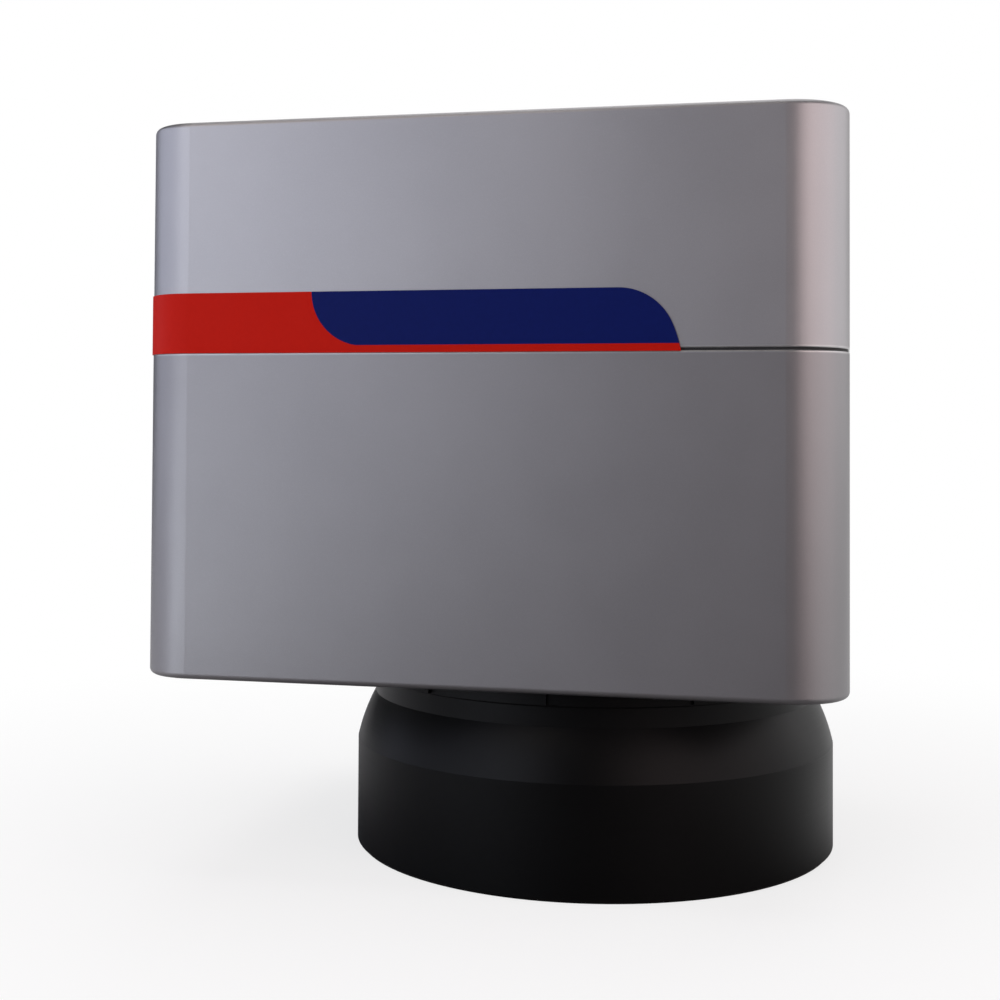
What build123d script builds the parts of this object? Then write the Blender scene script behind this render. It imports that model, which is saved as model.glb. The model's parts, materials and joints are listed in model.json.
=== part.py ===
from build123d import *
from math import pi, radians, sqrt, tan
import os

# Two-axis galvo scanner head with a screwed-in scan lens, in millimetres.
# The origin is the centre of the beam inlet on the mounting face. +X is the way the beam enters,
# +Z is up, and the side with the name band faces -Y.
# The beam enters along +X, the X mirror turns it to -Y, and the Y mirror turns it down the lens axis.

# ---------------------------------------------------------------- body shells
corner_radius = 10.0
edge_radius = 1.0
seam_edge_radius = 0.25
seam_height = 56.6
beam_height = 28.0
floor_thickness = 7.0
housing_wall = 4.0
inlet_wall = 10.0
cover_wall = 3.0
cover_top = 3.0
cover_headroom = 13.0
gasket_thickness = 0.4
gasket_setback = 0.4
tongue_thickness = 0.9
tongue_height = 2.5
fit_gap = 0.1
cut_margin = 1.0

# ---------------------------------------------------------------- beam and mirrors
mirror_spacing = 16.0
mirror_angle = 45.0
x_mirror_width = 15.0
x_mirror_below_length = 6.5
x_mirror_thickness = 1.5
y_mirror_width = 16.0
y_mirror_beyond_length = 14.0
y_mirror_thickness = 2.0
mirror_corner_cut = 3.0
mirror_grip_length = 3.5
holder_radius = 4.5
holder_length = 9.0
holder_gap = 2.0

# ---------------------------------------------------------------- galvo motors
motor_radius = 8.0
motor_wall = 2.0
case_length = 24.0
case_front_wall = 2.5
front_lip = 0.5
bearing_radius = 3.0
bearing_width = 2.0
shaft_radius = 1.5
shaft_end_gap = 0.4
shaft_hole_gap = 0.7
running_gap = 0.03
glue_gap = 0.02
coil_end_gap = 1.5
coil_thickness = 1.7
coil_setback = 0.5
magnet_gap = 0.66
cap_length = 9.0
cap_wall = 1.5
cap_spigot = 1.5
vane_gap = 1.5
vane_thickness = 0.6
vane_setback = 1.0
vane_hub = 1.0
lead_setback = 2.0
detector_thickness = 1.6

# ---------------------------------------------------------------- galvo mount
y_motor_setback = 23.0
plate_height = 15.0
plate_thickness = 16.0
plate_overhang = 16.0
plate_rear_width = 12.0
motor_shoulder = 1.5
pillar_length = 18.0
pillar_setback = 5.0
pillar_front_wall = 4.0
pillar_rear_wall = 1.2
foot_length = 17.4
foot_height = 6.0
foot_half_width = 30.0
base_gap = 1.0
foot_side_gap = 2.0
slit_width = 1.5
ear_length = 14.0
ear_depth = 6.0
ear_height = 7.0
foot_screw_inset = 4.0
foot_screw_end_inset = 5.0

# ---------------------------------------------------------------- beam inlet
inlet_recess_radius = 15.0
inlet_recess_depth = 4.0
window_radius = 9.4
window_thickness = 1.5
inlet_ring_thickness = 2.0
inlet_seal_thickness = 1.0
inlet_seal_setback = 0.5
aperture_radius = 6.5
inlet_bolt_spacing = 34.0
inlet_bolt_radius = 2.1
inlet_bolt_depth = 8.0
dowel_radius = 2.0
dowel_depth = 6.0
dowel_offset = 24.0

# ---------------------------------------------------------------- scan lens, heights down from the underside
lens_thread_radius = 42.5
thread_gap = 0.1
neck_relief_depth = 0.3
barrel_swell_width = 3.0
lens_top_clearance = 0.5
lens_thread_end = 3.0
lens_neck_end = 6.4
lens_cone_end = 15.1
lens_length = 34.7
cone_bulge_width = 0.35
rim_chamfer = 0.6
lock_ring_height = 2.4
lock_ring_width = 1.8
lock_ring_notches = 12
lock_notch_depth = 0.7
lock_notch_width = 2.0
rim_width = 5.0
glass_step_width = 2.0
large_step_width = 5.5
top_lip_width = 4.0
top_lip_thickness = 2.0
lens_fit = 0.05
lens_land = 2.5
spacer_land = 2.3
entrance_edge = 6.0
upper_spacer_length = 6.0
middle_edge = 5.0
lower_spacer_length = 7.0
exit_edge = 3.5
retainer_height = 3.0
retainer_to_glass_step = 2.2
glass_seal_thickness = 0.9
cover_glass_thickness = 2.0
glass_ring_height = 2.1
glass_ring_width = 3.0
spanner_width = 2.0
spanner_depth = 1.0
entrance_top_curve_radius = 90.0
entrance_bottom_curve_radius = 150.0
middle_top_curve_radius = 300.0
middle_bottom_curve_radius = 150.0
exit_bottom_curve_radius = 180.0

# ---------------------------------------------------------------- label
label_thickness = 0.2
label_height = 10.45
label_overhang = 0.5
label_wrap_length = 6.0
panel_margin = 1.25
panel_left = 32.7
panel_left_radius = 9.3
panel_right = 96.1
panel_right_radius = 20.0
panel_right_drop = 3.5
panel_blend_radius = 9.7

# ---------------------------------------------------------------- cover posts and screws
post_radius = 4.0
post_inset_x = 15.0
post_inset_y = 11.0
post_stud_radius = 2.5
post_stud_length = 5.0
m4_radius = 2.0
m4_head_radius = 3.5
m4_head_height = 4.0
m3_radius = 1.5
m3_head_radius = 2.7
m3_head_height = 2.9
countersunk_head_radius = 3.75
countersunk_head_height = 1.8
small_socket_width = 2.5
small_socket_depth = 1.4
m4_socket_width = 3.0
m4_socket_depth = 2.0
screw_gap = 0.1
screw_engagement = 10.0
screw_tip_gap = 0.5
floor_screw_depth = 5.0

# ---------------------------------------------------------------- electronics
board_thickness = 1.6
standoff_length = 4.0
standoff_radius = 2.75
board_end_gap = 1.5
board_floor_gap = 6.0
board_ceiling_gap = 5.0
standoff_inset = 5.0
lower_standoff_inset = 6.0
upper_standoff_drop = 6.6
pan_head_height = 2.0
pan_socket_width = 2.0
pan_socket_depth = 1.2
front_part_height = 8.9
rear_part_height = 9.0
rear_part_gap = 1.9
chip_pitch = 15.0
chip_columns = 3
chip_end_inset = 12.0
large_chip_drop = 9.0
large_chip_width = 10.0
large_chip_height = 6.0
large_chip_thickness = 1.8
small_chip_drop = 22.0
small_chip_width = 6.0
small_chip_height = 5.0
small_chip_thickness = 1.6
processor_drop = 36.0
processor_width = 12.0
processor_thickness = 2.0
can_radius = 4.0
can_pitch = 11.0
can_count = 3
can_end_inset = 16.0
can_rise = 30.0
transistor_width = 10.0
transistor_height = 9.0
transistor_thickness = 4.4
transistor_tab_height = 6.0
transistor_tab_thickness = 1.3
transistor_pitch = 14.0
transistor_count = 4
transistor_inset = 17.0
transistor_rise = 11.0
interface_gap = 5.0
interface_half_width = 32.0
interface_rise = 3.0
interface_ceiling_gap = 3.0
header_height = 6.0
header_width = 6.0
ribbon_width = 16.0
ribbon_thickness = 0.9
ribbon_drop = 3.0
ribbon_run = 17.4
ribbon_plug_margin = 1.0
front_ribbon_offset = 17.0
rear_ribbon_offset = 16.5
lead_plug_width = 7.0
lead_plug_height = 6.0
lead_radius = 1.0
x_lead_run = 16.0
y_lead_rise = 3.0

# ---------------------------------------------------------------- connectors on the cover's end wall
signal_shell_width = 38.3
power_shell_width = 16.3
shell_height = 8.4
shell_slant = 10.0
shell_corner = 2.4
shell_thickness = 0.5
shell_outer_length = 3.0
shell_hole_gap = 0.3
flange_height = 12.5
flange_thickness = 1.0
flange_margin = 6.0
shell_to_posts = 8.7
power_rise = 9.0
connector_spacing = 15.0
contact_margin = 5.2
contact_row_gap = 2.84
contact_radius = 0.55
contact_depth = 4.0
signal_top_row = 13
power_top_row = 5
insert_setback = 0.2
insert_block_margin = 0.5
flange_corner = 1.5
jack_hex_width = 5.0
jack_length = 5.0
jack_stud_radius = 1.4
jack_hole_radius = 1.25
jack_hole_end = 1.0
jack_tip_gap = 1.0

# ---------------------------------------------------------------- places that follow from the sizes
# The lens axis stands clear of the mount's foot, and the case is as deep as what lies behind the lens axis.
lens_bore_radius = lens_thread_radius + thread_gap
lens_x = inlet_wall + 2 * foot_side_gap + foot_length + lens_bore_radius
lens_y = -mirror_spacing
rear_stack = rear_part_gap + rear_part_height + board_thickness + standoff_length + housing_wall
half_depth = mirror_spacing + plate_rear_width + rear_stack
body_depth = 2 * half_depth
body_length = lens_x + half_depth
cover_height = power_rise + connector_spacing + cover_headroom + cover_top
body_height = seam_height + gasket_thickness + cover_height
underside = -beam_height
floor_z = underside + floor_thickness
seam_z = underside + seam_height
cover_z = seam_z + gasket_thickness
top_z = underside + body_height
ceiling_z = top_z - cover_top
front_y = lens_y - half_depth
back_y = lens_y + half_depth
mid_x = body_length / 2
front_wall_y = front_y + housing_wall
back_wall_y = back_y - housing_wall
x_motor_front = plate_height + motor_shoulder
y_motor_front = lens_x - y_motor_setback
motor_length = case_length + cap_length
plate_top = plate_height + plate_thickness
plate_end = lens_x + plate_overhang
pillar_end = y_motor_front - pillar_setback
pillar_start = pillar_end - pillar_length
pillar_front = lens_y - motor_radius - pillar_front_wall
pillar_rear = lens_y + motor_radius + pillar_rear_wall
foot_start = inlet_wall + foot_side_gap
foot_end = foot_start + foot_length
foot_front = lens_y - foot_half_width
foot_rear = lens_y + foot_half_width
foot_top = floor_z + foot_height
base_top = -motor_radius - base_gap
power_height = cover_z + power_rise
signal_height = power_height + connector_spacing
board_bottom = floor_z + board_floor_gap
board_top = ceiling_z - board_ceiling_gap
board_start = post_inset_x + post_radius + board_end_gap
board_end = body_length - post_inset_x - post_radius - board_end_gap
lower_standoff_z = board_bottom + lower_standoff_inset
upper_standoff_z = seam_z - upper_standoff_drop
front_board_y = front_wall_y + standoff_length
front_board_face = front_board_y + board_thickness
rear_board_y = back_wall_y - standoff_length
rear_board_face = rear_board_y - board_thickness
interface_x = cover_wall + flange_thickness + interface_gap
interface_face = interface_x + board_thickness
header_face = interface_face + header_height
front_header_face = front_board_face + front_part_height
rear_header_face = rear_board_face - rear_part_height
ribbon_x = header_face + ribbon_run
ribbon_z = signal_height - ribbon_drop
ribbon_starts = (lens_y - front_ribbon_offset, lens_y + rear_ribbon_offset)
rear_bearing_start = case_length + front_lip
rear_bearing_end = rear_bearing_start + bearing_width
y_lead_x = y_motor_front - rear_bearing_end
y_lead_z = plate_top + y_lead_rise
x_lead_x = lens_x - motor_radius - x_lead_run
x_lead_z = x_motor_front + rear_bearing_end + lead_setback

x_axis = Vector(1, 0, 0)
y_axis = Vector(0, 1, 0)
z_axis = Vector(0, 0, 1)


# ---------------------------------------------------------------- helpers
def block(x0, x1, y0, y1, z0, z1):
    """A rectangular block between six faces."""
    centre = Pos((x0 + x1) / 2, (y0 + y1) / 2, (z0 + z1) / 2)
    return centre * Box(x1 - x0, y1 - y0, z1 - z0)


def rod(start, direction, length, radius):
    """A round bar from a start point along a direction."""
    base = Plane(origin=start, z_dir=direction)
    return base * Cylinder(radius, length, align=(Align.CENTER, Align.CENTER, Align.MIN))


def tube(start, direction, length, outer, inner):
    """A round bar with a hole through it."""
    return rod(start, direction, length, outer) - rod(start, direction, length, inner)


def hexagon_rod(start, direction, length, across_flats):
    """A six-sided bar from a start point along a direction."""
    base = Plane(origin=start, z_dir=direction)
    return base * extrude(RegularPolygon(across_flats / 2, 6, major_radius=False), length)


def slab(inset, z0, z1):
    """A plate with the body's rounded plan, drawn in from the outside by an inset."""
    plan = RectangleRounded(body_length - 2 * inset, body_depth - 2 * inset, corner_radius - inset)
    return Pos(mid_x, lens_y, z0) * extrude(plan, z1 - z0)


def turned(points, x, y):
    """A solid turned about an upright axis, from its half outline of radius and height."""
    outline = Polyline([(radius, 0, height) for radius, height in points], close=True)
    return Pos(x, y, 0) * revolve(make_face(outline), Axis.Z)


def group(*shapes):
    """Several separate solids kept together as one node."""
    return Compound([solid for shape in shapes for solid in shape.solids()])


def save(name, *shapes):
    """Writes one node."""
    export_step(group(*shapes), f"parts/{name}.step")


def post_places():
    """The four cover posts, as X and Y."""
    for x in (post_inset_x, body_length - post_inset_x):
        for y in (front_y + post_inset_y, back_y - post_inset_y):
            yield x, y


def inlet_bolt_places():
    """The four tapped holes round the beam inlet, as Y and Z."""
    for y in (-inlet_bolt_spacing / 2, inlet_bolt_spacing / 2):
        for z in (-inlet_bolt_spacing / 2, inlet_bolt_spacing / 2):
            yield y, z


def foot_screw_places():
    """The four screws that hold the galvo mount to the floor, as X and Y."""
    for x in (foot_start + foot_screw_inset, foot_end - foot_screw_inset):
        for y in (foot_front + foot_screw_end_inset, foot_rear - foot_screw_end_inset):
            yield x, y


# ---------------------------------------------------------------- body shells
def lower_housing():
    """The machined lower shell: a thick inlet wall, a floor with the lens thread, and the seam tongue."""
    body = slab(0, underside, seam_z)
    body = fillet(body.faces().sort_by(Axis.Z)[0].edges(), edge_radius)
    body = fillet(body.faces().sort_by(Axis.Z)[-1].edges(), seam_edge_radius)
    inside_length = body_length - inlet_wall - housing_wall
    inside_radius = corner_radius - housing_wall
    plan = RectangleRounded(inside_length, body_depth - 2 * housing_wall, inside_radius)
    middle = inlet_wall + inside_length / 2
    body -= Pos(middle, lens_y, floor_z) * extrude(plan, body_height)
    tongue_outside = cover_wall + fit_gap
    tongue = slab(tongue_outside, seam_z, seam_z + tongue_height)
    tongue -= slab(tongue_outside + tongue_thickness, seam_z, seam_z + tongue_height)
    body += tongue
    body -= rod((lens_x, lens_y, underside), z_axis, floor_thickness, lens_bore_radius)
    body -= inlet_cuts()
    stud_hole_radius = post_stud_radius + screw_gap
    for x, y in post_places():
        body -= rod((x, y, floor_z - post_stud_length), z_axis, post_stud_length, stud_hole_radius)
    for x, y in foot_screw_places():
        body -= rod((x, y, floor_z - floor_screw_depth), z_axis, floor_screw_depth, m4_radius + screw_gap)
    return body


def inlet_cuts():
    """The stepped hole for the beam, the tapped holes round it and the clocking hole."""
    pocket = inlet_ring_thickness + window_thickness + inlet_seal_thickness
    cuts = rod((0, 0, 0), x_axis, inlet_recess_depth, inlet_recess_radius)
    cuts += rod((0, 0, 0), x_axis, inlet_recess_depth + pocket, window_radius + fit_gap)
    cuts += rod((0, 0, 0), x_axis, inlet_wall, aperture_radius)
    for y, z in inlet_bolt_places():
        cuts += rod((0, y, z), x_axis, inlet_bolt_depth, inlet_bolt_radius)
    cuts += rod((0, -dowel_offset, 0), x_axis, dowel_depth, dowel_radius)
    return cuts


def upper_cover():
    """The upper shell, with countersunk screw holes and the connector cut-outs."""
    cover = slab(0, cover_z, top_z)
    cover = fillet(cover.faces().sort_by(Axis.Z)[-1].edges(), edge_radius)
    cover = fillet(cover.faces().sort_by(Axis.Z)[0].edges(), seam_edge_radius)
    cover -= slab(cover_wall, cover_z, ceiling_z)
    for x, y in post_places():
        cover -= rod((x, y, ceiling_z), z_axis, cover_top, m4_radius + 2 * screw_gap)
        cover -= countersink(x, y, screw_gap)
    for width, height in connector_rows():
        hole = shell_outline(width, shell_hole_gap)
        cover -= wall_place(0, height) * extrude(hole, cover_wall)
    for y, z in jack_places():
        cover -= rod((0, y, z), x_axis, cover_wall, jack_stud_radius + screw_gap)
    return cover


def countersink(x, y, grow):
    """The cone under a flush screw head, from its wide end at the cover's top face."""
    points = [
        (0, top_z),
        (countersunk_head_radius + grow, top_z),
        (m4_radius + grow, top_z - countersunk_head_height),
        (0, top_z - countersunk_head_height),
    ]
    return turned(points, x, y)


def seam_gasket():
    """The thin seal in the seam, set back so that the seam reads as a fine dark groove."""
    ring = slab(gasket_setback, seam_z, cover_z)
    return ring - slab(cover_wall, seam_z, cover_z)


def cover_posts():
    """Four pillars that stand in the floor and carry the cover screws."""
    posts = []
    for x, y in post_places():
        post = rod((x, y, floor_z), z_axis, ceiling_z - floor_z, post_radius)
        post += rod((x, y, floor_z - post_stud_length), z_axis, post_stud_length, post_stud_radius)
        post -= rod((x, y, ceiling_z - screw_engagement), z_axis, screw_engagement, m4_radius + screw_gap)
        posts.append(post)
    return posts


def cover_screws():
    """Four flush screws in the cover's top, each with a hexagon socket."""
    screws = []
    for x, y in post_places():
        length = cover_top + screw_engagement - screw_tip_gap
        screw = rod((x, y, top_z - length), z_axis, length, m4_radius)
        screw += countersink(x, y, 0)
        socket_z = top_z - small_socket_depth
        screw -= hexagon_rod((x, y, socket_z), z_axis, small_socket_depth, small_socket_width)
        screws.append(screw)
    return screws


# ---------------------------------------------------------------- label on the cover's front
def label_region(outline):
    """The part of a thin skin round the cover that lies behind an outline drawn on the front."""
    low = cover_z - label_overhang
    skin = slab(-label_thickness, low, low + label_height)
    skin -= slab(0, low, low + label_height)
    place = Plane(origin=(0, front_y - cut_margin, 0), x_dir=(1, 0, 0), z_dir=(0, -1, 0))
    reach = corner_radius + label_wrap_length + cut_margin
    return skin & (place * extrude(outline, -reach))


def right_edge(low, high, left):
    """A label outline from a left edge to the rounded right end."""
    centre_x = panel_right - panel_right_radius
    centre_z = cover_z - label_overhang - panel_right_drop
    disc = Pos(centre_x, centre_z) * Circle(panel_right_radius)
    width = panel_right - left
    strip = Pos(left + width / 2, (low + high) / 2) * Rectangle(width, high - low)
    head = Pos(left + (centre_x - left) / 2, (low + high) / 2) * Rectangle(centre_x - left, high - low)
    shape = (strip & disc) + head
    corner = shape.vertices().group_by(Axis.Y)[-1].sort_by(Axis.X)[-1]
    return fillet(corner, panel_blend_radius)


def panel_outline():
    """The blue panel: a quarter-round left edge, a stripe's width above the label's lower edge."""
    low = cover_z - label_overhang + panel_margin
    high = cover_z - label_overhang + label_height
    shape = right_edge(low, high, panel_left + panel_left_radius)
    disc = Pos(panel_left + panel_left_radius, high) * Circle(panel_left_radius)
    side = Rectangle(panel_left_radius, high - low)
    side = Pos(panel_left + panel_left_radius / 2, (low + high) / 2) * side
    return shape + (disc & side)


def label_band():
    """The red band, which wraps round the corner onto the end wall."""
    low = cover_z - label_overhang
    whole = label_region(right_edge(low, low + label_height, -corner_radius))
    return whole - label_region(panel_outline())


def label_panel():
    """The bare blue panel."""
    return label_region(panel_outline())


# ---------------------------------------------------------------- beam inlet
def inlet_retainer():
    """The threaded ring that holds the window, with two spanner slots."""
    ring = tube((inlet_recess_depth, 0, 0), x_axis, inlet_ring_thickness, window_radius, aperture_radius)
    slot = spanner_width / 2
    for side in (-1, 1):
        near = side * (aperture_radius - cut_margin)
        far = side * (window_radius + cut_margin)
        y0, y1 = sorted((near, far))
        ring -= block(inlet_recess_depth, inlet_recess_depth + spanner_depth, y0, y1, -slot, slot)
    return ring


def inlet_window():
    """The window glass."""
    start = inlet_recess_depth + inlet_ring_thickness
    return rod((start, 0, 0), x_axis, window_thickness, window_radius)


def inlet_seal():
    """The seal behind the window."""
    start = inlet_recess_depth + inlet_ring_thickness + window_thickness
    inside_radius = aperture_radius + inlet_seal_setback
    return tube((start, 0, 0), x_axis, inlet_seal_thickness, window_radius, inside_radius)


# ---------------------------------------------------------------- scan lens
lens_neck_radius = lens_thread_radius - neck_relief_depth
lens_barrel_radius = lens_thread_radius + barrel_swell_width
glass_bore_radius = lens_barrel_radius - rim_width
large_bore_radius = glass_bore_radius - glass_step_width
small_bore_radius = large_bore_radius - large_step_width
top_opening_radius = small_bore_radius - top_lip_width
barrel_top = floor_z - lens_top_clearance
entrance_top = barrel_top - top_lip_thickness
upper_spacer_top = entrance_top - entrance_edge
middle_top = upper_spacer_top - upper_spacer_length
lower_spacer_top = middle_top - middle_edge
exit_top = lower_spacer_top - lower_spacer_length
retainer_top = exit_top - exit_edge
glass_step = retainer_top - retainer_height - retainer_to_glass_step
glass_top = glass_step - glass_seal_thickness
glass_ring_top = glass_top - cover_glass_thickness
rim_z = underside - lens_length
small_clear = small_bore_radius - lens_land
large_clear = large_bore_radius - lens_land


def lens_barrel():
    """The black barrel: thread, neck, swelling cone, straight body, and stepped bores inside."""
    neck_z = underside - lens_neck_end
    cone_z = underside - lens_cone_end
    mid_radius = (lens_neck_radius + lens_barrel_radius) / 2 + cone_bulge_width
    walls = [
        (top_opening_radius, barrel_top),
        (lens_thread_radius, barrel_top),
        (lens_thread_radius, underside - lens_thread_end),
        (lens_neck_radius, underside - lens_thread_end),
        (lens_neck_radius, neck_z),
    ]
    rest = [
        (lens_barrel_radius, cone_z),
        (lens_barrel_radius, rim_z + rim_chamfer),
        (lens_barrel_radius - rim_chamfer, rim_z),
        (glass_bore_radius, rim_z),
        (glass_bore_radius, glass_step),
        (large_bore_radius, glass_step),
        (large_bore_radius, middle_top),
        (small_bore_radius, middle_top),
        (small_bore_radius, entrance_top),
        (top_opening_radius, entrance_top),
        (top_opening_radius, barrel_top),
    ]
    upper = Polyline([(r, 0, z) for r, z in walls])
    middle = (mid_radius, 0, (neck_z + cone_z) / 2)
    cone = ThreePointArc((lens_neck_radius, 0, neck_z), middle, (lens_barrel_radius, 0, cone_z))
    lower = Polyline([(r, 0, z) for r, z in rest])
    outline = Wire([*upper.edges(), *cone.edges(), *lower.edges()])
    return Pos(lens_x, lens_y, 0) * revolve(make_face(outline), Axis.Z)


def sag(curve_radius, radius):
    """How far a spherical surface falls away at a radius."""
    return curve_radius - sqrt(curve_radius**2 - radius**2)


def lens_element(edge_radius_mm, clear_radius, top, bottom, top_curve, bottom_curve):
    """A glass element with a flat rim, a hollow or flat top and a rounded underside."""
    top_middle = top - (sag(top_curve, clear_radius) if top_curve else 0)
    bottom_middle = bottom - sag(bottom_curve, clear_radius)
    half = clear_radius / 2
    bottom_half = bottom_middle + sag(bottom_curve, half)
    edges = [Line((clear_radius, 0, top), (edge_radius_mm, 0, top))]
    edges.append(Line((edge_radius_mm, 0, top), (edge_radius_mm, 0, bottom)))
    edges.append(Line((edge_radius_mm, 0, bottom), (clear_radius, 0, bottom)))
    edges.append(ThreePointArc((clear_radius, 0, bottom), (half, 0, bottom_half), (0, 0, bottom_middle)))
    edges.append(Line((0, 0, bottom_middle), (0, 0, top_middle)))
    if top_curve:
        top_half = top_middle + sag(top_curve, half)
        edges.append(ThreePointArc((0, 0, top_middle), (half, 0, top_half), (clear_radius, 0, top)))
    else:
        edges.append(Line((0, 0, top_middle), (clear_radius, 0, top)))
    return Pos(lens_x, lens_y, 0) * revolve(make_face(Wire([edge.edge() for edge in edges])), Axis.Z)


def entrance_lens():
    """The first element, hollow towards the mirrors."""
    edge = small_bore_radius - lens_fit
    curves = (entrance_top_curve_radius, entrance_bottom_curve_radius)
    return lens_element(edge, small_clear, entrance_top, upper_spacer_top, *curves)


def middle_lens():
    """The second element."""
    edge = large_bore_radius - lens_fit
    curves = (middle_top_curve_radius, middle_bottom_curve_radius)
    return lens_element(edge, large_clear, middle_top, lower_spacer_top, *curves)


def exit_lens():
    """The third element, flat on top."""
    edge = large_bore_radius - lens_fit
    return lens_element(edge, large_clear, exit_top, retainer_top, None, exit_bottom_curve_radius)


def lens_ring(top, height, outer, width):
    """A ring on the lens axis, hung down from its top face."""
    return tube((lens_x, lens_y, top - height), z_axis, height, outer, outer - width)


def upper_spacer():
    """The ring between the first and second elements."""
    return lens_ring(upper_spacer_top, upper_spacer_length, small_bore_radius - lens_fit, spacer_land)


def lower_spacer():
    """The ring between the second and third elements."""
    return lens_ring(lower_spacer_top, lower_spacer_length, large_bore_radius - lens_fit, spacer_land)


def spanner_slots(ring, top, depth, outer, width):
    """Two slots across a threaded ring's lower face."""
    low = top - depth
    slot = spanner_width / 2
    for side in (-1, 1):
        near = lens_x + side * (outer - width - cut_margin)
        far = lens_x + side * (outer + cut_margin)
        x0, x1 = sorted((near, far))
        ring -= block(x0, x1, lens_y - slot, lens_y + slot, low, low + spanner_depth)
    return ring


def lens_retainer():
    """The threaded ring that clamps the three elements."""
    outer = large_bore_radius - lens_fit
    ring = lens_ring(retainer_top, retainer_height, outer, spacer_land)
    return spanner_slots(ring, retainer_top, retainer_height, outer, spacer_land)


def cover_glass():
    """The flat protective glass at the mouth."""
    radius = glass_bore_radius - lens_fit
    return rod((lens_x, lens_y, glass_ring_top), z_axis, cover_glass_thickness, radius)


def cover_glass_seal():
    """The flat seal that the protective glass is pressed against."""
    width = glass_bore_radius - large_bore_radius - lens_fit
    return lens_ring(glass_step, glass_seal_thickness, glass_bore_radius - lens_fit, width)


def cover_glass_retainer():
    """The threaded ring that holds the protective glass."""
    outer = glass_bore_radius - lens_fit
    ring = lens_ring(glass_ring_top, glass_ring_height, outer, glass_ring_width)
    return spanner_slots(ring, glass_ring_top, glass_ring_height, outer, glass_ring_width)


def lens_lock_ring():
    """The notched ring that locks the barrel against the underside."""
    outer = lens_thread_radius + thread_gap + lock_ring_width
    ring = lens_ring(underside, lock_ring_height, outer, lock_ring_width)
    for index in range(lock_ring_notches):
        turn = Pos(lens_x, lens_y, 0) * Rot(0, 0, 360 / lock_ring_notches * index)
        notch = block(
            outer - lock_notch_depth,
            outer + lock_notch_depth,
            -lock_notch_width / 2,
            lock_notch_width / 2,
            underside - lock_ring_height,
            underside,
        )
        ring -= turn * notch
    return ring


# ---------------------------------------------------------------- galvo motors
# A motor is drawn with its front face on the ground and its back up, then set in place.
x_motor_place = Location(Plane(origin=(lens_x, 0, x_motor_front), x_dir=(1, 0, 0), z_dir=(0, 0, 1)))
y_motor_place = Location(Plane(origin=(y_motor_front, lens_y, 0), x_dir=(0, 0, 1), z_dir=(-1, 0, 0)))
bearing_fit_radius = bearing_radius + glue_gap
shaft_hole_radius = shaft_radius + shaft_hole_gap
magnet_start = case_front_wall + coil_setback
coil_length = case_length - cap_spigot - coil_end_gap - magnet_start
coil_radius = motor_radius - motor_wall - 2 * glue_gap
magnet_radius = coil_radius - coil_thickness - magnet_gap
vane_radius = motor_radius - cap_wall - vane_gap
detector_start = motor_length - cap_wall - detector_thickness
shaft_end = detector_start - shaft_end_gap


def motor_case():
    """The motor's steel case, with the front bearing seat."""
    case = rod((0, 0, 0), z_axis, case_length, motor_radius)
    case -= rod((0, 0, case_front_wall), z_axis, case_length, motor_radius - motor_wall)
    case -= rod((0, 0, front_lip), z_axis, case_front_wall, bearing_fit_radius)
    case -= rod((0, 0, 0), z_axis, case_front_wall, shaft_hole_radius)
    return case


def motor_cap():
    """The detector housing on the motor's back, with a spigot and the rear bearing seat."""
    cap = rod((0, 0, case_length), z_axis, cap_length, motor_radius)
    spigot_radius = motor_radius - motor_wall - glue_gap
    cap += rod((0, 0, case_length - cap_spigot), z_axis, cap_spigot, spigot_radius)
    hollow = cap_length - (rear_bearing_end - case_length) - cap_wall
    cap -= rod((0, 0, rear_bearing_end), z_axis, hollow, motor_radius - cap_wall)
    cap -= rod((0, 0, rear_bearing_start), z_axis, bearing_width, bearing_fit_radius)
    cap -= rod((0, 0, case_length - cap_spigot), z_axis, cap_length / 2, shaft_hole_radius)
    return cap


def motor_coil():
    """The winding that lines the case."""
    return tube((0, 0, magnet_start), z_axis, coil_length, coil_radius, coil_radius - coil_thickness)


def motor_bearings():
    """The two bearings that carry the shaft."""
    front = tube((0, 0, front_lip), z_axis, bearing_width, bearing_radius, shaft_radius + running_gap)
    rear = tube((0, 0, rear_bearing_start), z_axis, bearing_width, bearing_radius, shaft_radius + running_gap)
    return group(front, rear)


def motor_shaft():
    """The shaft, from the mirror holder to behind the detector vane."""
    length = holder_gap + holder_length - mirror_grip_length + shaft_end
    return rod((0, 0, mirror_grip_length - holder_gap - holder_length), z_axis, length, shaft_radius)


def motor_magnet():
    """The magnet that the coil turns."""
    return tube((0, 0, magnet_start), z_axis, coil_length, magnet_radius, shaft_radius + glue_gap)


def motor_vane():
    """The two-bladed vane that shades the detector."""
    start = rear_bearing_end + vane_setback
    vane = tube((0, 0, start), z_axis, vane_thickness, vane_radius, shaft_radius + glue_gap)
    for side in (-1, 1):
        x0, x1 = sorted((side * (shaft_radius + vane_hub), side * (vane_radius + vane_hub)))
        vane -= block(x0, x1, -vane_radius / 2, vane_radius / 2, start, start + vane_thickness)
    return vane


def motor_detector():
    """The small round detector board against the cap's back wall."""
    return rod((0, 0, detector_start), z_axis, detector_thickness, motor_radius - cap_wall - fit_gap)


def mirror_plate(width, reach, thickness, grow, normal_turn):
    """A mirror in the motor's own frame: its face holds the axis, and it hangs in front of the holder."""
    top = mirror_grip_length - holder_gap - holder_length
    half = width / 2 + grow
    points = [
        (-half, top + grow),
        (-half, reach + mirror_corner_cut),
        (-half + mirror_corner_cut, reach),
        (half - mirror_corner_cut, reach),
        (half, reach + mirror_corner_cut),
        (half, top + grow),
    ]
    face = make_face(Polyline([(x, 0, z) for x, z in points], close=True))
    plate = Pos(0, grow, 0) * extrude(face, thickness + 2 * grow, dir=(0, -1, 0))
    return Rot(0, 0, normal_turn) * plate


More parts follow.
